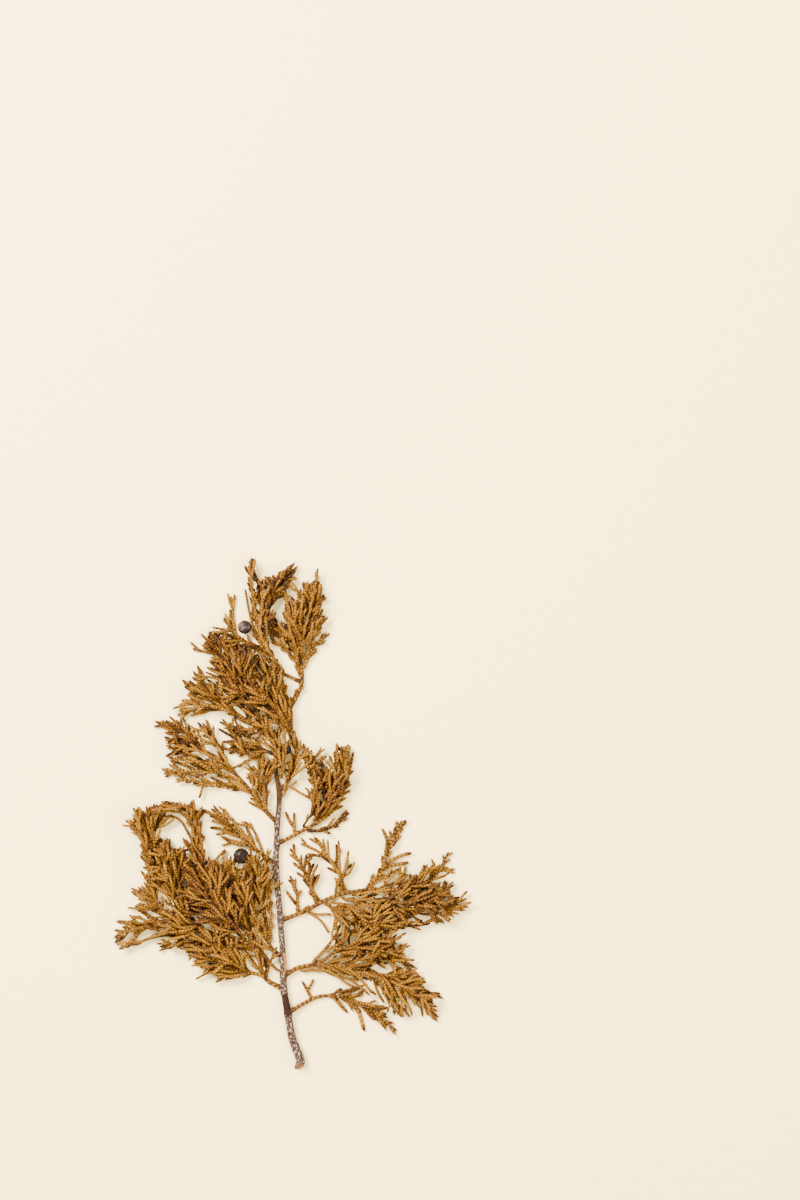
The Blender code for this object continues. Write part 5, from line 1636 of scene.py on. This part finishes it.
def leaf_piece(region, twigs, made, leaf):
    """All the scale leaves of a region, each dealt its tone."""
    places, tones = [], []
    dice = random.Random(region + " leaves")
    for twig in twigs:
        for place in leaf_places(twig):
            places.append(place)
            # Painted shade: leaves on a twig's flanks and underside are a tone darker; the rest of the step
            # is random
            shade_and_chance_darker = int(place[2][2] < SHADED_FLANK_UP) + dice.choice(LEAF_TONES)
            tones.append(max(twig.tone - shade_and_chance_darker, 0))
    corners, along, outward, size = zip(*places)
    mesh = bpy.data.meshes.new(region)
    mesh.from_pydata(list(in_frame(corners)), [], [])
    set_attribute(mesh, "along", "FLOAT_VECTOR", along)
    set_attribute(mesh, "outward", "FLOAT_VECTOR", outward)
    set_attribute(mesh, "size", "FLOAT", size)
    set_attribute(mesh, "tone", "INT", tones)
    return through_tree(region + "_scale_leaves", mesh, made, {"Leaf": leaf, **LEAF_SIZES})


# Stem and boughs


def limb_mesh(name, line, radii, sides, relief, cut=(0.0, 0.0)):
    """A limb's skin with relief, its map in millimetres, and its first end cut on a slant."""
    run = run_along(line)
    ahead, across, up = directions(line)
    rows = []
    for k, (point, radius) in enumerate(zip(line, radii)):
        row = []
        for j in range(sides):
            angle = 2 * math.pi * j / sides
            out = radius + relief(angle, run[k])
            corner = point + (across[k] * math.cos(angle) + up[k] * math.sin(angle)) * out
            slope = math.cos(angle) * math.tan(cut[0]) + math.sin(angle) * math.tan(cut[1])
            fade = max(0.0, 1 - run[k] / CUT_FADE)
            row.append(corner + ahead[k] * slope * radius * fade)
        rows.append(row)
    corners = [corner for row in rows for corner in row]
    faces = []
    for k in range(len(rows) - 1):
        for j in range(sides):
            a, b = k * sides + j, k * sides + (j + 1) % sides
            faces.append((a, b, b + sides, a + sides))
    ends = len(faces)
    for row, back in ((0, True), (len(rows) - 1, False)):
        middle = len(corners)
        corners.append(np.mean(rows[row], axis=0))
        for j in range(sides):
            a, b = row * sides + j, row * sides + (j + 1) % sides
            faces.append((middle, b, a) if back else (middle, a, b))
    mesh = bpy.data.meshes.new(name)
    mesh.from_pydata([tuple(c) for c in in_frame(corners)], [], faces)
    layer = mesh.uv_layers.new(name="limb_map").data
    for polygon in mesh.polygons:
        for loop in polygon.loop_indices:
            corner = mesh.loops[loop].vertex_index
            if polygon.index >= ends:
                offset = (np.array(corners[corner]) - corners[-2 if polygon.index < ends + sides else -1])
                layer[loop].uv = (float(offset @ across[0]), float(offset @ up[0]))
                continue
            k, j = divmod(corner, sides)
            share = j / sides
            if (polygon.index % sides) == sides - 1 and j == 0:
                share = 1.0
            layer[loop].uv = (share * 2 * math.pi * radii[k], run[k])
    mesh.shade_smooth()
    return mesh, ends


def bark_relief(seed, depth, collars=()):
    """A function that gives the height of the bark at an angle and a distance along a limb."""
    origin = Vector((seed * 7.3, seed * 3.1, seed * 5.7))

    def height(angle, run):
        side = Vector((math.cos(angle), math.sin(angle), 0)) * BARK_ROUND
        out = depth * sum(share * noise.noise(origin + side * across + Vector((0, 0, run * along)))
                          for across, along, share in BARK_RIDGES)
        for collar in collars:
            swell = collar.height * math.exp(-((run - collar.at) / collar.width) ** 2)
            if collar.side is not None:
                towards = max(0.0, math.cos(angle - collar.side))
                swell *= COLLAR_BACK + (1 - COLLAR_BACK) * towards
            out += swell
        return out

    return height


def stem_piece(brown):
    """The stem with its collars, its ring, its peeled strip and its slanting cut."""
    line, radii = stem_twig(STEM_STEP)
    run = run_along(line[:, :2])
    collars = list(NODE_RING)
    for bough in BOUGHS:
        if bough.on == STEM:
            foot, ahead = place_at(line, bough.at)
            right = (np.array(bough.way[0]) - foot[:2]) @ np.array([ahead[1], -ahead[0]]) > 0
            collars.append(Collar(bough.at + COLLAR_PAST, 0.0 if right else math.pi, 0.3, 1.5))
    plain = bark_relief(1, STEM_RELIEF, collars)

    def relief(angle, run_here):
        peeled = in_peeled_strip(angle, run_here)
        return plain(angle, run_here) * (1 - PEELED_SMOOTHING * peeled) - PEELED_DEPTH * peeled

    sides = STEM_SKIN_SIDES
    mesh, ends = limb_mesh("main_stem_bark", line, radii, sides, relief, (CUT_SLANT, CUT_TILT))
    materials = [
        bark_material("grey_bark", (25, 13, 7), (52, 34, 22), (90, 68, 50), (178, 154, 136), 0.55),
        peeled_material(),
        bark_material("smooth_dark_bark", (18, 7, 2), (36, 15, 6), (58, 29, 13), (100, 72, 52), 0.66),
        cut_wood_material(),
        brown,
    ]
    for material in materials:
        mesh.materials.append(material)
    for polygon in mesh.polygons:
        if polygon.index >= ends:
            polygon.material_index = CUT if polygon.index < ends + sides else GREY
            continue
        k, j = divmod(polygon.index, sides)
        angle = 2 * math.pi * (j + 0.5) / sides
        if in_peeled_strip(angle, run[k]) > 0.5:
            polygon.material_index = BARE
        elif DARK_BARK[0] + DARK_BARK_WAVE * math.sin(3 * angle) < run[k] < DARK_BARK[1]:
            polygon.material_index = DARK
        elif run[k] > BROWN_BARK_FROM + BROWN_BARK_WAVE * math.sin(2 * angle):
            polygon.material_index = BROWN
    return added("main_stem_bark", mesh)


def in_peeled_strip(angle, run):
    """How deep inside the peeled strip a place on the stem lies, from 0 to 1."""
    turn = (angle - PEELED_MIDDLE + math.pi) % (2 * math.pi) - math.pi
    edge = PEELED_WANDER * noise.noise(Vector((run * 1.3, 0.5, 0.2)))
    inside = min(PEELED_HALF + edge - abs(turn), PEELED_EDGE) / PEELED_EDGE
    ends = min(run - PEELED[0], PEELED[1] - run) / PEELED_END
    return max(0.0, min(1.0, inside, ends))


def added(name, data):
    """A new thing in the scene, from its mesh, lamp or lens."""
    thing = bpy.data.objects.new(name, data)
    bpy.context.scene.collection.objects.link(thing)
    return thing


def bough_line(bough, grown):
    """A bough's middle line and its radii, from inside what carries it."""
    twig = inside_carrier(grown[bough.name], grown[bough.on])
    line = smooth_way(twig.points, LIMB_STEP)
    run = run_along(line)
    radii = np.interp(run, run_along(twig.points), twig.radii) * DRAWN_BOUGH
    radii *= np.interp(run[-1] - run, *BOUGH_TAPER)
    return line, radii


def bough_piece(bough, grown, number, material):
    """A bough's bark, with a collar at its foot where it leaves the stem."""
    line, radii = bough_line(bough, grown)
    relief = bark_relief(number + 2, BOUGH_RELIEF, [BOUGH_FOOT] if bough.on == STEM else [])
    mesh, _ = limb_mesh(bough.name + "_bark", line, radii, BOUGH_SKIN_SIDES, relief)
    mesh.materials.append(material)
    return added(bough.name + "_bark", mesh)


# Seed cones


def seed_cone_piece(cone, wrinkles, material, number):
    """A dried seed cone: a flattened ball with bulges, sunken creases and folds, and pits."""
    radius = cone.width / 2
    shape = bmesh.new()
    bmesh.ops.create_icosphere(shape, subdivisions=5, radius=1.0)
    origin = Vector((number * 4.1, 1.7, number * 2.3))
    for corner in shape.verts:
        out = corner.co.normalized()
        crease = max(0.0, CREASE_WIDTH - abs(noise.noise(origin + out * CREASE_SCALE)))
        fold = max(0.0, FOLD_WIDTH - abs(noise.noise(origin + out * FOLD_SCALE)))
        scale = 1 + BULGE * noise.noise(origin + out * BULGE_SCALE)
        scale -= wrinkles * (crease ** CREASE_POWER * CREASE_DEPTH + fold * FOLD_DEPTH)
        scale += PIT * noise.noise(origin + out * PIT_SCALE)
        corner.co = Vector((out.x, out.y, out.z * CONE_FLATTENING)) * radius * scale * CONE_SKIN
    mesh = bpy.data.meshes.new(cone.name + "_skin")
    shape.to_mesh(mesh)
    shape.free()
    mesh.transform(shifted(cone_centre(cone)))
    mesh.shade_smooth()
    mesh.materials.append(material)
    return added(cone.name + "_skin", mesh)


def shifted(centre):
    """The matrix that takes millimetres round a centre to the frame."""
    matrix = Matrix.Diagonal((MM, MM, MM, 1))
    matrix.translation = Vector(in_frame(centre))
    return matrix


# The place for the picture


def make_floor():
    """A pale floor, a hair below the branch."""
    mesh = bpy.data.meshes.new("pale_floor")
    sides = ((-1, -1), (1, -1), (1, 1), (-1, 1))
    corners = [(x * FLOOR_HALF, y * FLOOR_HALF, -FLOOR_DEPTH) for x, y in sides]
    mesh.from_pydata(corners, [], [(0, 1, 2, 3)])
    mesh.materials.append(plain_material("pale_floor", FLOOR_COLOUR, 0.9))
    floor = added("pale_floor", mesh)


def make_light(light):
    """A square lamp that looks at the middle of the frame."""
    lamp = bpy.data.lights.new(light.name, "AREA")
    lamp.size = light.size
    lamp.energy = light.watts
    lamp.color = light.colour
    thing = added(light.name, lamp)
    thing.location = light.place
    thing.rotation_euler = (-Vector(light.place)).to_track_quat("-Z", "Y").to_euler()


def make_camera():
    """Straight above the middle of the picture, whose up is the branch's +Y."""
    right = (PICTURE_WIDTH_PX / 2 - CUT_END_X_PX) * MM_PER_PX
    up = (CUT_END_Y_PX - PICTURE_HEIGHT_PX / 2) * MM_PER_PX
    seen = PICTURE_HEIGHT_PX * MM_PER_PX * MM
    lens = bpy.data.cameras.new("camera")
    lens.lens = CAMERA_LENS_MM
    lens.sensor_width = SENSOR_MM
    lens.sensor_fit = "VERTICAL"
    lens.sensor_height = SENSOR_MM
    camera = added("camera", lens)
    x, y, _ = in_frame((right, up, 0))
    camera.location = (x, y, seen * CAMERA_LENS_MM / SENSOR_MM)
    bpy.context.scene.camera = camera


def make_light_and_floor():
    """The floor, the two lamps and the soft light of the room."""
    make_floor()
    for light in LIGHTS:
        make_light(light)
    world = bpy.data.worlds.new("soft_room")
    world.use_nodes = True
    room = world.node_tree.nodes["Background"].inputs
    room["Color"].default_value = ROOM_COLOUR
    room["Strength"].default_value = ROOM_STRENGTH
    bpy.context.scene.world = world


def say(piece, nodes):
    """Says what a piece rides on and hides the solids that it stands for."""
    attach(piece, BODY)
    if nodes:
        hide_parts(*nodes)


def main():
    make_camera()
    make_light_and_floor()
    grown, sprays, pile = grow()
    grow_fine(grown, sprays, pile)
    bough_bark = bark_material("brown_bark", (32, 15, 2), (60, 34, 6), (86, 54, 14), (108, 80, 40), 0.72)
    say(stem_piece(bough_bark), [STEM])
    for number, bough in enumerate(BOUGHS):
        say(bough_piece(bough, grown, number, bough_bark), [bough.name])
    waxy = cone_material("waxy_cone_skin", (22, 13, 12), (42, 27, 24), (128, 100, 92), 0.5)
    bare = cone_material("dark_cone_skin", (12, 5, 2), (34, 16, 6), (70, 44, 26), 0.6)
    for number, (cone, wrinkles, skin) in enumerate(zip(CONES, CONE_WRINKLES, (waxy, bare, bare))):
        say(seed_cone_piece(cone, wrinkles, skin, number), [cone.name])
    for region, (twigs, leaves) in foliage(grown, sprays, pile).items():
        nodes = [spray.name for spray in SPRAYS if region_of(spray.name) == region]
        say(twigs, nodes)
        say(leaves, [])


main()
